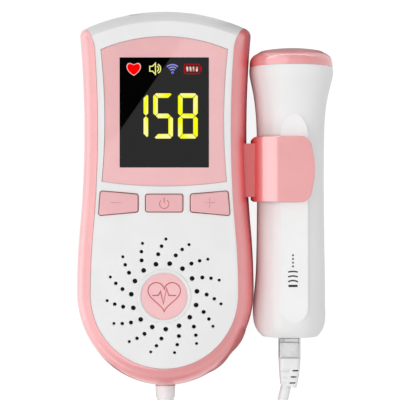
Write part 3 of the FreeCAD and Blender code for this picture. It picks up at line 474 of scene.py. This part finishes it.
def rounded_box(centre, width, height, radius, steps=4):
    """Outline of a rectangle with round corners."""
    x, y = width / 2 - radius, height / 2 - radius
    outline = []
    for corner_x, corner_y, start in ((x, y, 0), (-x, y, 90), (-x, -y, 180), (x, -y, 270)):
        corner = (centre[0] + corner_x, centre[1] + corner_y)
        outline += arc(corner, radius, start, start + 90, steps)
    return outline


def heart(centre, width, steps=48):
    """Outline of a plain heart."""
    scale = width / 32
    outline = []
    for k in range(steps):
        t = 2 * math.pi * (k + 0.5) / steps
        x = 16 * math.sin(t) ** 3
        y = 13 * math.cos(t) - 5 * math.cos(2 * t) - 2 * math.cos(3 * t) - math.cos(4 * t)
        outline.append((centre[0] + scale * x, centre[1] + scale * (y + 2.5)))
    return outline


def plump_heart(centre, width, steps=48):
    """Outline of a full heart with a shallow notch and a blunt tip."""
    scale = width / 32
    outline = []
    for k in range(steps):
        t = 2 * math.pi * (k + 0.5) / steps
        x = 16 * math.sin(t) * math.sqrt(abs(math.sin(t)))
        y = 13 * math.cos(t) - 3.5 * math.cos(2 * t) - 1.2 * math.cos(3 * t) - 0.6 * math.cos(4 * t)
        outline.append((centre[0] + scale * x, centre[1] + 1.06 * scale * (y + 2.6)))
    return outline


def lay_on(mesh, node):
    """Drops a flat mesh onto a CAD node's top surface, keeping its own thickness."""
    source = frame["nodes"][node].data
    tree = BVHTree.FromPolygons([v.co for v in source.vertices], [p.vertices for p in source.polygons])
    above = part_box(node)[1].z + 1 * MM
    for vertex in mesh.verts:
        hit = tree.ray_cast(Vector((vertex.co.x, vertex.co.y, above)), Vector((0, 0, -1)))[0]
        if hit is None:
            raise RuntimeError(f"nothing of {node} lies under the print")
        vertex.co.z += hit.z


# ---- the cable, in mm ----
UNIT_LEAD = (
    (0.0, -85.0, 15.0),
    (0.1, -97.0, 14.7),
    (-1.9, -109.0, 9.2),
    (-5.6, -120.0, 4.4),
    (-7.6, -131.0, 2.6),
    (-7.7, -137.0, 2.5),
)
PROBE_LEAD = (
    (43.76, -67.48, 16.0),
    (41.75, -75.54, 16.0),
    (40.9, -86.5, 13.6),
    (42.4, -99.5, 9.8),
    (44.4, -112.0, 7.3),
    (44.8, -125.0, 6.4),
    (44.7, -137.0, 6.3),
)
COIL_CENTRE = (18.5, -137.0)
TURN_POINTS = 16
CROSSING = 0.3                         # turns over which the cable climbs to the upper layer


def coil_points(turns, mean_radius, diameter):
    """Control points of two flat layers of turns, wound inwards below and back outwards above."""
    half_spread = diameter * turns / 4
    swell = 1 / math.cos(math.pi / TURN_POINTS)
    low_z, climb = UNIT_LEAD[-1][2] * MM, PROBE_LEAD[-1][2] * MM - UNIT_LEAD[-1][2] * MM
    points = []
    steps = round(turns * TURN_POINTS)
    for step in range(1, steps):
        wound = step / TURN_POINTS
        share = abs(2 * wound / turns - 1)
        radius = (mean_radius + half_spread * (2 * share - 1)) * swell
        angle = math.pi + 2 * math.pi * wound
        rise = min(1.0, max(0.0, (wound - turns / 2) / CROSSING + 0.5))
        points.append(
            (
                COIL_CENTRE[0] * MM + radius * math.cos(angle),
                COIL_CENTRE[1] * MM + radius * math.sin(angle),
                low_z + climb * rise * rise * (3 - 2 * rise),
            )
        )
    return points


def cable_curve(points, bevel=0.0):
    """Smooth line through the route, as a mesh: bare for its centreline, or as a round tube."""
    curve = bpy.data.curves.new("cable_line", "CURVE")
    curve.dimensions = "3D"
    curve.resolution_u = 6
    curve.bevel_depth = bevel
    curve.bevel_resolution = 4
    curve.use_fill_caps = True
    spline = curve.splines.new("NURBS")
    spline.points.add(len(points) - 1)
    for entry, point in zip(spline.points, points):
        entry.co = (*point, 1)
    spline.order_u = 3
    spline.use_endpoint_u = True
    holder = bpy.data.objects.new("cable_line", curve)
    mesh = bpy.data.meshes.new_from_object(holder)
    bpy.data.objects.remove(holder)
    bpy.data.curves.remove(curve)
    return mesh


# ---- operators ----
class DOPPLER_OT_camera(bpy.types.Operator):
    """Place the camera that looks straight down on the monitor"""

    bl_idname = "doppler.camera"
    bl_label = "Camera"

    def execute(self, context):
        stage = context.scene.doppler_stage
        data = bpy.data.cameras.new("camera")
        data.lens = stage.focal
        data.sensor_width = 36
        camera = bpy.data.objects.new("camera", data)
        camera.location = (*VIEW_CENTRE, stage.height)
        context.scene.collection.objects.link(camera)
        context.scene.camera = camera
        return {"FINISHED"}


class DOPPLER_OT_cable(bpy.types.Operator):
    """Lay the cable from the strain relief through its tied coil to the plug's boot"""

    bl_idname = "doppler.cable"
    bl_label = "Cable"

    def execute(self, context):
        cable = context.scene.doppler_cable
        start = [tuple(v * MM for v in p) for p in UNIT_LEAD]
        end = [tuple(v * MM for v in p) for p in reversed(PROBE_LEAD)]
        points = start + coil_points(cable.turns, cable.coil_radius, cable.diameter) + end
        bare = cable_curve(points)
        bpy.data.meshes.remove(bare)
        mesh = cable_curve(points, cable.diameter / 2)
        mesh.name = "cable"
        mesh.materials.clear()
        mesh.materials.append(sheathed("cable_sheath", cable.sheath))
        mesh.shade_smooth()
        piece = bpy.data.objects.new("cable", mesh)
        context.scene.collection.objects.link(piece)
        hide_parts("cord_lead_unit", "cord_coil", "cord_lead_probe")
        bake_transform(piece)
        boot = sheathed("boot", cable.sheath)
        tie = sheathed("tie", srgb(226, 226, 226))
        dress({"boot_white": boot, "tie_white": tie})
        return {"FINISHED"}


class DOPPLER_OT_case(bpy.types.Operator):
    """Finish the covers, band, panel, clip and screws"""

    bl_idname = "doppler.case"
    bl_label = "Case"

    def execute(self, context):
        case = context.scene.doppler_case
        band_coat = {"Coat_Weight": 1.0, "Coat_Roughness": 0.2, "Coat_IOR": 1.55}
        panel_coat = {"Coat_Weight": 1.0, "Coat_Roughness": 0.03, "Coat_IOR": 1.8}
        clip_coat = {"Coat_Weight": 1.0, "Coat_Roughness": 0.15, "Coat_IOR": 1.9}
        dress(
            {
                "white_case": moulded("white_case", case.white, Specular_IOR_Level=0.3),
                # The band and clip deepen to their low pinks towards the floor: painted shade on their
                # sides.
                "pink_band": soft_pink("pink_band", case.band, case.low, (25.5, 30.2), **band_coat),
                "pink_panel": soft_pink("pink_panel", case.panel, **panel_coat),
                "pink_clip": soft_pink("pink_clip", case.clip, case.clip_shade, (24.5, 28.8), **clip_coat),
                "steel": metal("steel", srgb(200, 200, 204)),
            }
        )
        return {"FINISHED"}


SEGMENTS = {
    "0": "abcdef", "1": "bc", "2": "abged", "3": "abgcd", "4": "fgbc",
    "5": "afgcd", "6": "afgedc", "7": "abc", "8": "abcdefg", "9": "abcdfg",
}


def segment_outlines(width, height, stroke):
    """Outlines of the seven segments about a digit's centre, mitred at the corners."""
    x, y = width / 2, height / 2
    slit, chamfer = 0.11 * MM, 0.95 * MM
    near, far = (chamfer - slit) / 2, (chamfer + slit) / 2
    inner = stroke + slit
    top = [
        (-x + inner, y - stroke),
        (x - inner, y - stroke),
        (x - far, y - near),
        (x - chamfer, y),
        (-x + chamfer, y),
        (-x + far, y - near),
    ]
    side = [
        (x, y - chamfer),
        (x - near, y - far),
        (x - stroke, y - inner),
        (x - stroke, stroke / 2 + slit),
        (x - stroke / 2, slit),
        (x, stroke / 2 + slit),
    ]
    middle = [
        (-x + stroke / 2 + slit, 0),
        (-x + inner, -stroke / 2),
        (x - inner, -stroke / 2),
        (x - stroke / 2 - slit, 0),
        (x - inner, stroke / 2),
        (-x + inner, stroke / 2),
    ]

    def flip(outline, across, down):
        return [(across * px, down * py) for px, py in outline]

    return {
        "a": top,
        "b": side,
        "c": flip(side, 1, -1),
        "d": flip(top, 1, -1),
        "e": flip(side, -1, -1),
        "f": flip(side, -1, 1),
        "g": middle,
    }


class DOPPLER_OT_digits(bpy.types.Operator):
    """Light the reading on the display"""

    bl_idname = "doppler.digits"
    bl_label = "Digits"

    def execute(self, context):
        display = context.scene.doppler_display
        dress({"dark_lens": dark_lens()})
        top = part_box("display_lens")[1].z
        lit = glow("digit_light", tuple(display.core), tuple(display.edge))
        outlines = segment_outlines(display.digit_width, display.digit_height, display.stroke)
        centre = Vector((-0.41, 28.93)) * MM
        rim = 0.28 * MM
        first = centre.x - display.digit_pitch * (len(display.reading) - 1) / 2
        for place, digit in enumerate(display.reading):
            mesh = bmesh.new()
            x = first + place * display.digit_pitch
            for segment in SEGMENTS[digit]:
                outline = [(x + px, centre.y + py) for px, py in outlines[segment]]
                add_plate(mesh, outline, top - SUNK, top + PROUD, rim)
            keep(f"digit_{place + 1}", mesh, lit, "unit")
        return {"FINISHED"}


class DOPPLER_OT_icons(bpy.types.Operator):
    """Light the four status icons above the reading"""

    bl_idname = "doppler.icons"
    bl_label = "Icons"

    def execute(self, context):
        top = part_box("display_lens")[1].z
        low, high = top - SUNK, top + PROUD
        self.heart(low, high)
        self.speaker(low, high)
        self.wireless(low, high)
        self.battery(low, high)
        return {"FINISHED"}

    def light(self, name, mesh, middle, rim):
        keep("icon_" + name, mesh, glow(name + "_light", middle, rim), "unit")

    def heart(self, low, high):
        """Full red heart on a pale one that shows as its rim."""
        centre = (-10.72 * MM, 45.3 * MM)
        red, pale = srgb(255, 0, 0), srgb(250, 196, 192)
        mesh = bmesh.new()
        add_plate(mesh, plump_heart(centre, 5.05 * MM), low, high)
        self.light("heart_rim", mesh, pale, pale)
        mesh = bmesh.new()
        add_plate(mesh, plump_heart(centre, 4.5 * MM), high - SUNK, high + PROUD)
        self.light("heart", mesh, red, red)

    def speaker(self, low, high):
        """Outline of a driver with two waves."""
        x, y = -3.3 * MM, 45.5 * MM
        wave_x = x + 0.25 * MM
        yellow = srgb(246, 247, 140)
        driver = [(-1.8, 0.85), (-0.85, 0.85), (0.2, 1.95), (0.2, -1.95), (-0.85, -0.85), (-1.8, -0.85)]
        outline = [(x + px * MM, y + py * MM) for px, py in driver]
        mesh = bmesh.new()
        add_stroke(mesh, outline, 0.36 * MM, low, high, closed=True)
        for radius in (1.05, 1.77):
            add_stroke(mesh, arc((wave_x, y), radius * MM, -62, 62), 0.38 * MM, low, high)
        self.light("speaker", mesh, yellow, yellow)

    def wireless(self, low, high):
        """Dot with a fan of three arcs over it."""
        foot = (2.86 * MM, 44.15 * MM)
        mesh = bmesh.new()
        add_plate(mesh, arc(foot, 0.45 * MM, 0, 342, 19), low, high, 0.12 * MM)
        for radius in (1.1, 1.95, 2.8):
            add_stroke(mesh, arc(foot, radius * MM, 47, 133), 0.42 * MM, low, high)
        self.light("wireless", mesh, srgb(90, 90, 240), srgb(150, 150, 235))

    def battery(self, low, high):
        """Lying cell with its nub and four bars."""
        x, y = 9.75 * MM, 45.4 * MM
        can = rounded_box((x, y), 5.3 * MM, 3.2 * MM, 0.5 * MM)
        nub = rounded_box((x + 3.05 * MM, y), 0.62 * MM, 1.7 * MM, 0.2 * MM)
        bar_pitch = 1.12 * MM
        mesh = bmesh.new()
        add_stroke(mesh, can, 0.45 * MM, low, high, closed=True)
        add_plate(mesh, nub, low, high, 0.1 * MM)
        self.light("battery", mesh, srgb(190, 16, 16), srgb(160, 20, 20))
        mesh = bmesh.new()
        for k in range(4):
            bar = rounded_box((x + (k - 1.5) * bar_pitch, y), 0.7 * MM, 1.8 * MM, 0.3 * MM)
            add_plate(mesh, bar, low, high, 0.08 * MM)
        self.light("battery_bars", mesh, srgb(244, 222, 220), srgb(214, 120, 118))


class DOPPLER_OT_keys(bpy.types.Operator):
    """Finish the three keys and mould their legends"""

    bl_idname = "doppler.keys"
    bl_label = "Keys"

    def execute(self, context):
        case = context.scene.doppler_case
        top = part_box("key_power")[1].z
        # The key caps deepen to the low pink down their sides below the top: painted shade round the keys.
        span = (top / MM - 1.3, top / MM - 0.5)
        dress({"pink_key": soft_pink("pink_key", case.keys, case.low, span)})
        inks = {"power": printed("key_legend", case.relief)}
        inks["minus"] = inks["plus"] = printed("faint_key_legend", case.faint)
        width, proud, ridge = 0.3 * MM, 0.02 * MM, 0.04 * MM
        strokes = {
            "minus": [[(-18.9, -1.5), (-15.2, -1.5)]],
            "plus": [[(14.15, -1.5), (17.75, -1.5)], [(15.95, 0.35), (15.95, -3.35)]],
            "power": [
                arc((0, -1.95), 1.62, 128, 412, 28),
                [(0, 0.2), (0, -1.7)],
            ],
        }
        for key, lines in strokes.items():
            mesh = bmesh.new()
            for points in lines:
                line = [(x * MM, y * MM) for x, y in points]
                add_stroke(mesh, line, width, top - SUNK, top + proud, swell=ridge)
            keep(f"legend_{key}", mesh, inks[key], f"key_{key}")
        return {"FINISHED"}


class DOPPLER_OT_speaker(bpy.types.Operator):
    """Finish the speaker's cloth and the badge, and mould the badge's heart and pulse line"""

    bl_idname = "doppler.speaker"
    bl_label = "Speaker and badge"

    def execute(self, context):
        case = context.scene.doppler_case
        dress({"mesh_black": woven_mesh(), "pink_badge": soft_pink("pink_badge", case.badge)})
        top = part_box("badge_disc")[1].z
        low, high = top - SUNK, top + PROUD
        stroke, ridge = 0.42 * MM, 0.1 * MM
        middle = (SPEAKER.x, SPEAKER.y - 0.3 * MM)
        mesh = bmesh.new()
        add_stroke(mesh, heart(middle, 11.4 * MM), stroke, low, high, closed=True, swell=ridge)
        pulse = [(-4.2, 0.6), (-2.1, 0.6), (-1.3, 2.0), (-0.3, -2.3), (0.8, 3.0), (1.6, 0.6), (4.2, 0.6)]
        line = [(middle[0] + x * MM, middle[1] + y * MM) for x, y in pulse]
        add_stroke(mesh, line, stroke, low, high, swell=ridge)
        keep("badge_relief", mesh, moulded("badge_relief", case.relief), "unit")
        return {"FINISHED"}


class DOPPLER_OT_probe(bpy.types.Operator):
    """Finish the probe and print the sound-wave mark on its label plate"""

    bl_idname = "doppler.probe"
    bl_label = "Probe"

    def execute(self, context):
        case = context.scene.doppler_case
        head_coat = {"Coat_Weight": 1.0, "Coat_Roughness": 0.1}
        dress(
            {
                "probe_white": moulded("probe_white", case.probe, Specular_IOR_Level=0.3),
                "label_white": moulded("label_white", srgb(246, 246, 246), Specular_IOR_Level=0.3),
                # The head deepens to its low pink towards the floor: painted shade on its lower sides.
                "head_pink": soft_pink("head_pink", case.head, case.head_shade, (16, 28), **head_coat),
                "lens_grey": moulded("lens_grey", srgb(214, 215, 216), rough=(0.35, 0.45)),
            }
        )
        mesh = self.sound_wave()
        lay_on(mesh, "probe_label_plate")
        keep("probe_print", mesh, printed("black_ink", srgb(30, 30, 30)), "probe")
        return {"FINISHED"}

    def sound_wave(self):
        """Flat mark: a bar, three waves of one width over it, and a row of dots that leads away."""
        x, y = 45.35 * MM, -30.9 * MM
        low, high = -SUNK, PROUD
        behind = 1.4                           # in mm, from the bar down to the waves' centre
        half_width = 1.7                       # in mm, of every wave
        mesh = bmesh.new()
        add_plate(mesh, rounded_box((x, y), 3.3 * MM, 0.8 * MM, 0.3 * MM), low, high)
        for gap in (1.9, 3.5, 5.1):
            radius = gap + behind
            half = math.degrees(math.asin(half_width / radius))
            wave = arc((x, y - behind * MM), radius * MM, 90 - half, 90 + half, 10)
            add_stroke(mesh, wave, 0.5 * MM, low, high)
        for gap in (6.9, 8.2, 9.5, 10.8):
            add_plate(mesh, arc((x, y + gap * MM), 0.34 * MM, 0, 345, 23), low, high)
        return mesh


class DOPPLER_OT_plug(bpy.types.Operator):
    """Finish the modular plug and its contacts, and mould low ribs on the plug's top whose grey is painted
    shade for its dark edge and latch lines
    """

    bl_idname = "doppler.plug"
    bl_label = "Plug"

    def execute(self, context):
        dress({"plug_clear": clear_plug(), "gold_contact": metal("gold_contact", srgb(226, 186, 96))})
        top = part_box("plug_body")[1].z
        low, high = top - SUNK, top + 0.08 * MM
        left, post, right = 41.2, 42.7, 47.9
        mouth, step, foot = -50.3, -51.7, -56.9
        wide, narrow = 0.3, 0.16
        ribs = (
            ([(left, mouth), (right, mouth), (right, step), (left, step)], wide, True),
            ([(left, step), (left, foot)], narrow, False),
            ([(right, step), (right, foot)], narrow, False),
            ([(post, mouth), (post, step)], wide, False),
        )
        mesh = bmesh.new()
        for points, width, closed in ribs:
            add_stroke(mesh, [(x * MM, y * MM) for x, y in points], width * MM, low, high, closed)
        # The ribs stand a little proud; their grey is painted shade for the dark lines along the plug's
        # edges and latch.
        keep("plug_ribs_painted_shade", mesh, moulded("plug_ribs_painted_shade", srgb(152, 152, 148)), "probe")
        return {"FINISHED"}


class DOPPLER_OT_inside(bpy.types.Operator):
    """Finish the parts inside the case and the probe"""

    bl_idname = "doppler.inside"
    bl_label = "Inside"

    def execute(self, context):
        dress(
            {
                "lcd_glass": moulded("lcd_glass", srgb(120, 126, 122), rough=(0.05, 0.1)),
                "backlight": moulded("backlight", srgb(236, 236, 232)),
                "foam_black": foam("foam_black", srgb(24, 24, 24)),
                "board_green": circuit_board(),
                "chip_black": moulded("chip_black", srgb(26, 26, 28), rough=(0.45, 0.6)),
                "spring_steel": metal("spring_steel", srgb(196, 192, 184), stretch=(1, 6, 1)),
                "speaker_paper": foam("speaker_paper", srgb(44, 44, 44)),
                "magnet": metal("magnet", srgb(150, 150, 152)),
                "cell_jacket": battery_jacket(),
                "jack_black": moulded("jack_black", srgb(24, 24, 24)),
                "crystal": moulded("crystal", srgb(214, 202, 170)),
                "backing_grey": foam("backing_grey", srgb(70, 70, 74)),
            }
        )
        return {"FINISHED"}


class DOPPLER_OT_stage(bpy.types.Operator):
    """Lay the pale floor and set the soft studio light"""

    bl_idname = "doppler.stage"
    bl_label = "Stage"

    def execute(self, context):
        stage = context.scene.doppler_stage
        self.floor(context)
        target = Vector((12, -5, 15)) * MM
        for name, place, side, power in (
            ("key_lamp", (-0.8, -0.05, 1.0), 0.9, stage.key),
            ("fill_lamp", (1.1, 0.05, 0.65), 0.8, stage.fill),
            ("foot_lamp", (-0.2, -1.0, 0.6), 0.7, stage.foot),
            ("back_lamp", (0.1, 1.0, 0.6), 0.7, stage.back),
        ):
            self.lamp(context, name, place, target, (side, side), power, gloss=False)
        self.window_card(context)
        self.side_card(context)
        self.card(
            context,
            "back_card",
            place=(0.034, 0.115, 0.049),
            target=Vector((0.043, 0.052, 0.03)),
            size=(0.22, 0.012),
            brightness=7.0,
        )
        self.card(
            context,
            "floor_card",
            place=(-0.2, 0, 0.0005),
            target=Vector((-0.2, 0, 1)),
            size=(0.3, 0.6),
            brightness=1.1,
        )
        self.flags(context)
        self.sky(context, stage.sky)
        context.scene.view_settings.view_transform = "Standard"
        return {"FINISHED"}

    def floor(self, context):
        """Wide pale floor, a hair below the flat rear face."""
        mesh = bmesh.new()
        bmesh.ops.create_grid(mesh, x_segments=8, y_segments=8, size=3.0)
        data = bpy.data.meshes.new("floor")
        mesh.to_mesh(data)
        mesh.free()
        floor = bpy.data.objects.new("floor", data)
        floor.location.z = -0.03 * MM
        context.scene.collection.objects.link(floor)
        finish = Finish("floor", srgb(140, 140, 140), Roughness=0.9, Specular_IOR_Level=0.0)
        finish.mottle(0.01, 0.2)
        self.lift_to_white(finish, 0.9)
        data.materials.append(finish.material)

    def lift_to_white(self, finish, strength):
        """Adds light that only eyes, gloss and clear parts see, so that the surface shows pale."""
        path = finish.add("ShaderNodeLightPath")
        seen = path.outputs["Is Camera Ray"]
        for ray in ("Is Glossy Ray", "Is Transmission Ray"):
            either = finish.add("ShaderNodeMath", operation="MAXIMUM")
            finish.link(seen, either.inputs[0])
            finish.link(path.outputs[ray], either.inputs[1])
            seen = either.outputs["Value"]
        scaled = finish.add("ShaderNodeMath", operation="MULTIPLY")
        finish.link(seen, scaled.inputs[0])
        scaled.inputs[1].default_value = strength
        glow_node = finish.add("ShaderNodeEmission")
        finish.link(scaled.outputs["Value"], glow_node.inputs["Strength"])
        total = finish.add("ShaderNodeAddShader")
        finish.link(finish.shader.outputs["BSDF"], total.inputs[0])
        finish.link(glow_node.outputs["Emission"], total.inputs[1])
        output = finish.tree.nodes["Material Output"]
        finish.link(total.outputs["Shader"], output.inputs["Surface"])

    def lamp(self, context, name, place, target, size, power, gloss=True):
        data = bpy.data.lights.new(name, "AREA")
        data.shape = "RECTANGLE"
        data.size, data.size_y = size
        data.energy = power
        lamp = bpy.data.objects.new(name, data)
        lamp.location = place
        lamp.rotation_euler = (target - Vector(place)).to_track_quat("-Z", "Y").to_euler()
        lamp.visible_camera = False
        lamp.visible_glossy = gloss
        context.scene.collection.objects.link(lamp)
        return lamp

    def card(self, context, name, place, target, size, brightness):
        """A lit card that shows only in gloss."""
        card = self.lamp(context, name, place, target, size, brightness * math.pi * size[0] * size[1])
        card.visible_diffuse = False
        return card

    def side_card(self, context):
        """Slanted card on the left, from close beside the camera down to the horizon."""
        near, far = Vector((-0.06, 0, 0.52)), Vector((-0.75, 0, 0.05))
        across = near - far
        card = self.card(
            context,
            "side_card",
            place=(near + far) / 2,
            target=Vector(),
            size=(across.length, 1.2),
            brightness=2.2,
        )
        card.rotation_euler = (0, -math.atan2(across.z, across.x), 0)

    def flags(self, context):
        """Grey boards on the floor and behind the probe.

        They show only in gloss, and keep the flanks that mirror them deep.
        """
        under = (-28, 62, -74, 55)             # west, east, south and north edges in mm
        beyond = (25, 70, 55, 120)
        floor_z, tall = -0.01, 300
        mesh = bmesh.new()
        for west, east, south, north in (under, beyond):
            corners = ((west, south), (east, south), (east, north), (west, north))
            mesh.faces.new([mesh.verts.new((x * MM, y * MM, floor_z * MM)) for x, y in corners])
        west, east, south, north = beyond
        corners = ((west, floor_z), (west, tall), (east, tall), (east, floor_z))
        mesh.faces.new([mesh.verts.new((x * MM, north * MM, z * MM)) for x, z in corners])
        data = bpy.data.meshes.new("flags")
        mesh.to_mesh(data)
        mesh.free()
        flags = bpy.data.objects.new("flags", data)
        context.scene.collection.objects.link(flags)
        for ray in ("camera", "diffuse", "transmission", "volume_scatter", "shadow"):
            setattr(flags, "visible_" + ray, False)
        finish = Finish("flags", srgb(150, 140, 140), Roughness=0.9, Specular_IOR_Level=0.0)
        finish.mottle(0.1, 0.05)
        data.materials.append(finish.material)

    def window_card(self, context):
        """Card overhead whose edge crosses the display's window at a slant."""
        camera = Vector(VIEW_CENTRE)
        window_z = 29.6 * MM
        rise = 500 * MM                        # from the window up to the card
        drop = 456 * MM                        # from the camera down to the window
        reach = 1 + rise / drop
        low_left, up_right = Vector((-15.9, 23.3)) * MM, Vector((2.4, 49.6)) * MM
        start = camera + (low_left - camera) * reach
        end = camera + (up_right - camera) * reach
        along = (end - start).normalized()
        across = Vector((along.y, -along.x))
        width, tall = 0.3, 0.6
        middle = (start + end) / 2 + across * width / 2
        place = Vector((*middle, window_z + rise))
        card = self.card(
            context,
            "window_card",
            place=place,
            target=place - Vector((0, 0, 1)),
            size=(width, tall),
            brightness=0.62,
        )
        card.rotation_euler = (0, 0, math.atan2(across.y, across.x))

    def sky(self, context, strength):
        """Even light; the eye sees white, and gloss sees white that darkens overhead."""
        world = bpy.data.worlds.new("studio")
        world.use_nodes = True
        tree = world.node_tree
        background = tree.nodes["Background"]
        background.inputs["Color"].default_value = (1, 1, 1, 1)
        path = tree.nodes.new("ShaderNodeLightPath")

        def switch(ray, off, on):
            chosen = tree.nodes.new("ShaderNodeMapRange")
            tree.links.new(path.outputs[ray], chosen.inputs["Value"])
            for socket, value in (("To Min", off), ("To Max", on)):
                if isinstance(value, float):
                    chosen.inputs[socket].default_value = value
                else:
                    tree.links.new(value, chosen.inputs[socket])
            return chosen.outputs["Result"]

        direction = tree.nodes.new("ShaderNodeSeparateXYZ")
        place = tree.nodes.new("ShaderNodeTexCoord").outputs["Generated"]
        tree.links.new(place, direction.inputs["Vector"])
        ceiling = tree.nodes.new("ShaderNodeMapRange")
        ceiling.interpolation_type = "SMOOTHSTEP"
        tree.links.new(direction.outputs["Z"], ceiling.inputs["Value"])
        for socket, value in (("From Min", 0.0), ("From Max", 0.5), ("To Min", 1.0), ("To Max", 0.0)):
            ceiling.inputs[socket].default_value = value
        level = switch("Is Glossy Ray", strength, ceiling.outputs["Result"])
        level = switch("Is Transmission Ray", level, 1.0)
        level = switch("Is Camera Ray", level, 1.0)
        tree.links.new(level, background.inputs["Strength"])
        context.scene.world = world


OPERATORS = (
    DOPPLER_OT_camera,
    DOPPLER_OT_cable,
    DOPPLER_OT_stage,
    DOPPLER_OT_case,
    DOPPLER_OT_digits,
    DOPPLER_OT_icons,
    DOPPLER_OT_keys,
    DOPPLER_OT_speaker,
    DOPPLER_OT_probe,
    DOPPLER_OT_plug,
    DOPPLER_OT_inside,
)


class DOPPLER_PT_pieces(bpy.types.Panel):
    """Buttons that make each group of pieces, above the settings they read"""

    bl_idname = "DOPPLER_PT_pieces"
    bl_label = "Doppler monitor"
    bl_space_type = "VIEW_3D"
    bl_region_type = "UI"
    bl_category = "Doppler"

    def draw(self, context):
        for operator in OPERATORS:
            self.layout.operator(operator.bl_idname)
        for name, group in SETTINGS.items():
            box = self.layout.box()
            for key in group.__annotations__:
                box.prop(getattr(context.scene, name), key)


def register():
    for group in SETTINGS.values():
        bpy.utils.register_class(group)
    for name, group in SETTINGS.items():
        setattr(bpy.types.Scene, name, PointerProperty(type=group))
    for operator in OPERATORS:
        bpy.utils.register_class(operator)
    bpy.utils.register_class(DOPPLER_PT_pieces)


def unregister():
    bpy.utils.unregister_class(DOPPLER_PT_pieces)
    for operator in reversed(OPERATORS):
        bpy.utils.unregister_class(operator)
    for name, group in SETTINGS.items():
        delattr(bpy.types.Scene, name)
        bpy.utils.unregister_class(group)


def main():
    register()
    for operator in OPERATORS:
        group, name = operator.bl_idname.split(".")
        getattr(getattr(bpy.ops, group), name)()


if __name__ == "__main__":
    main()
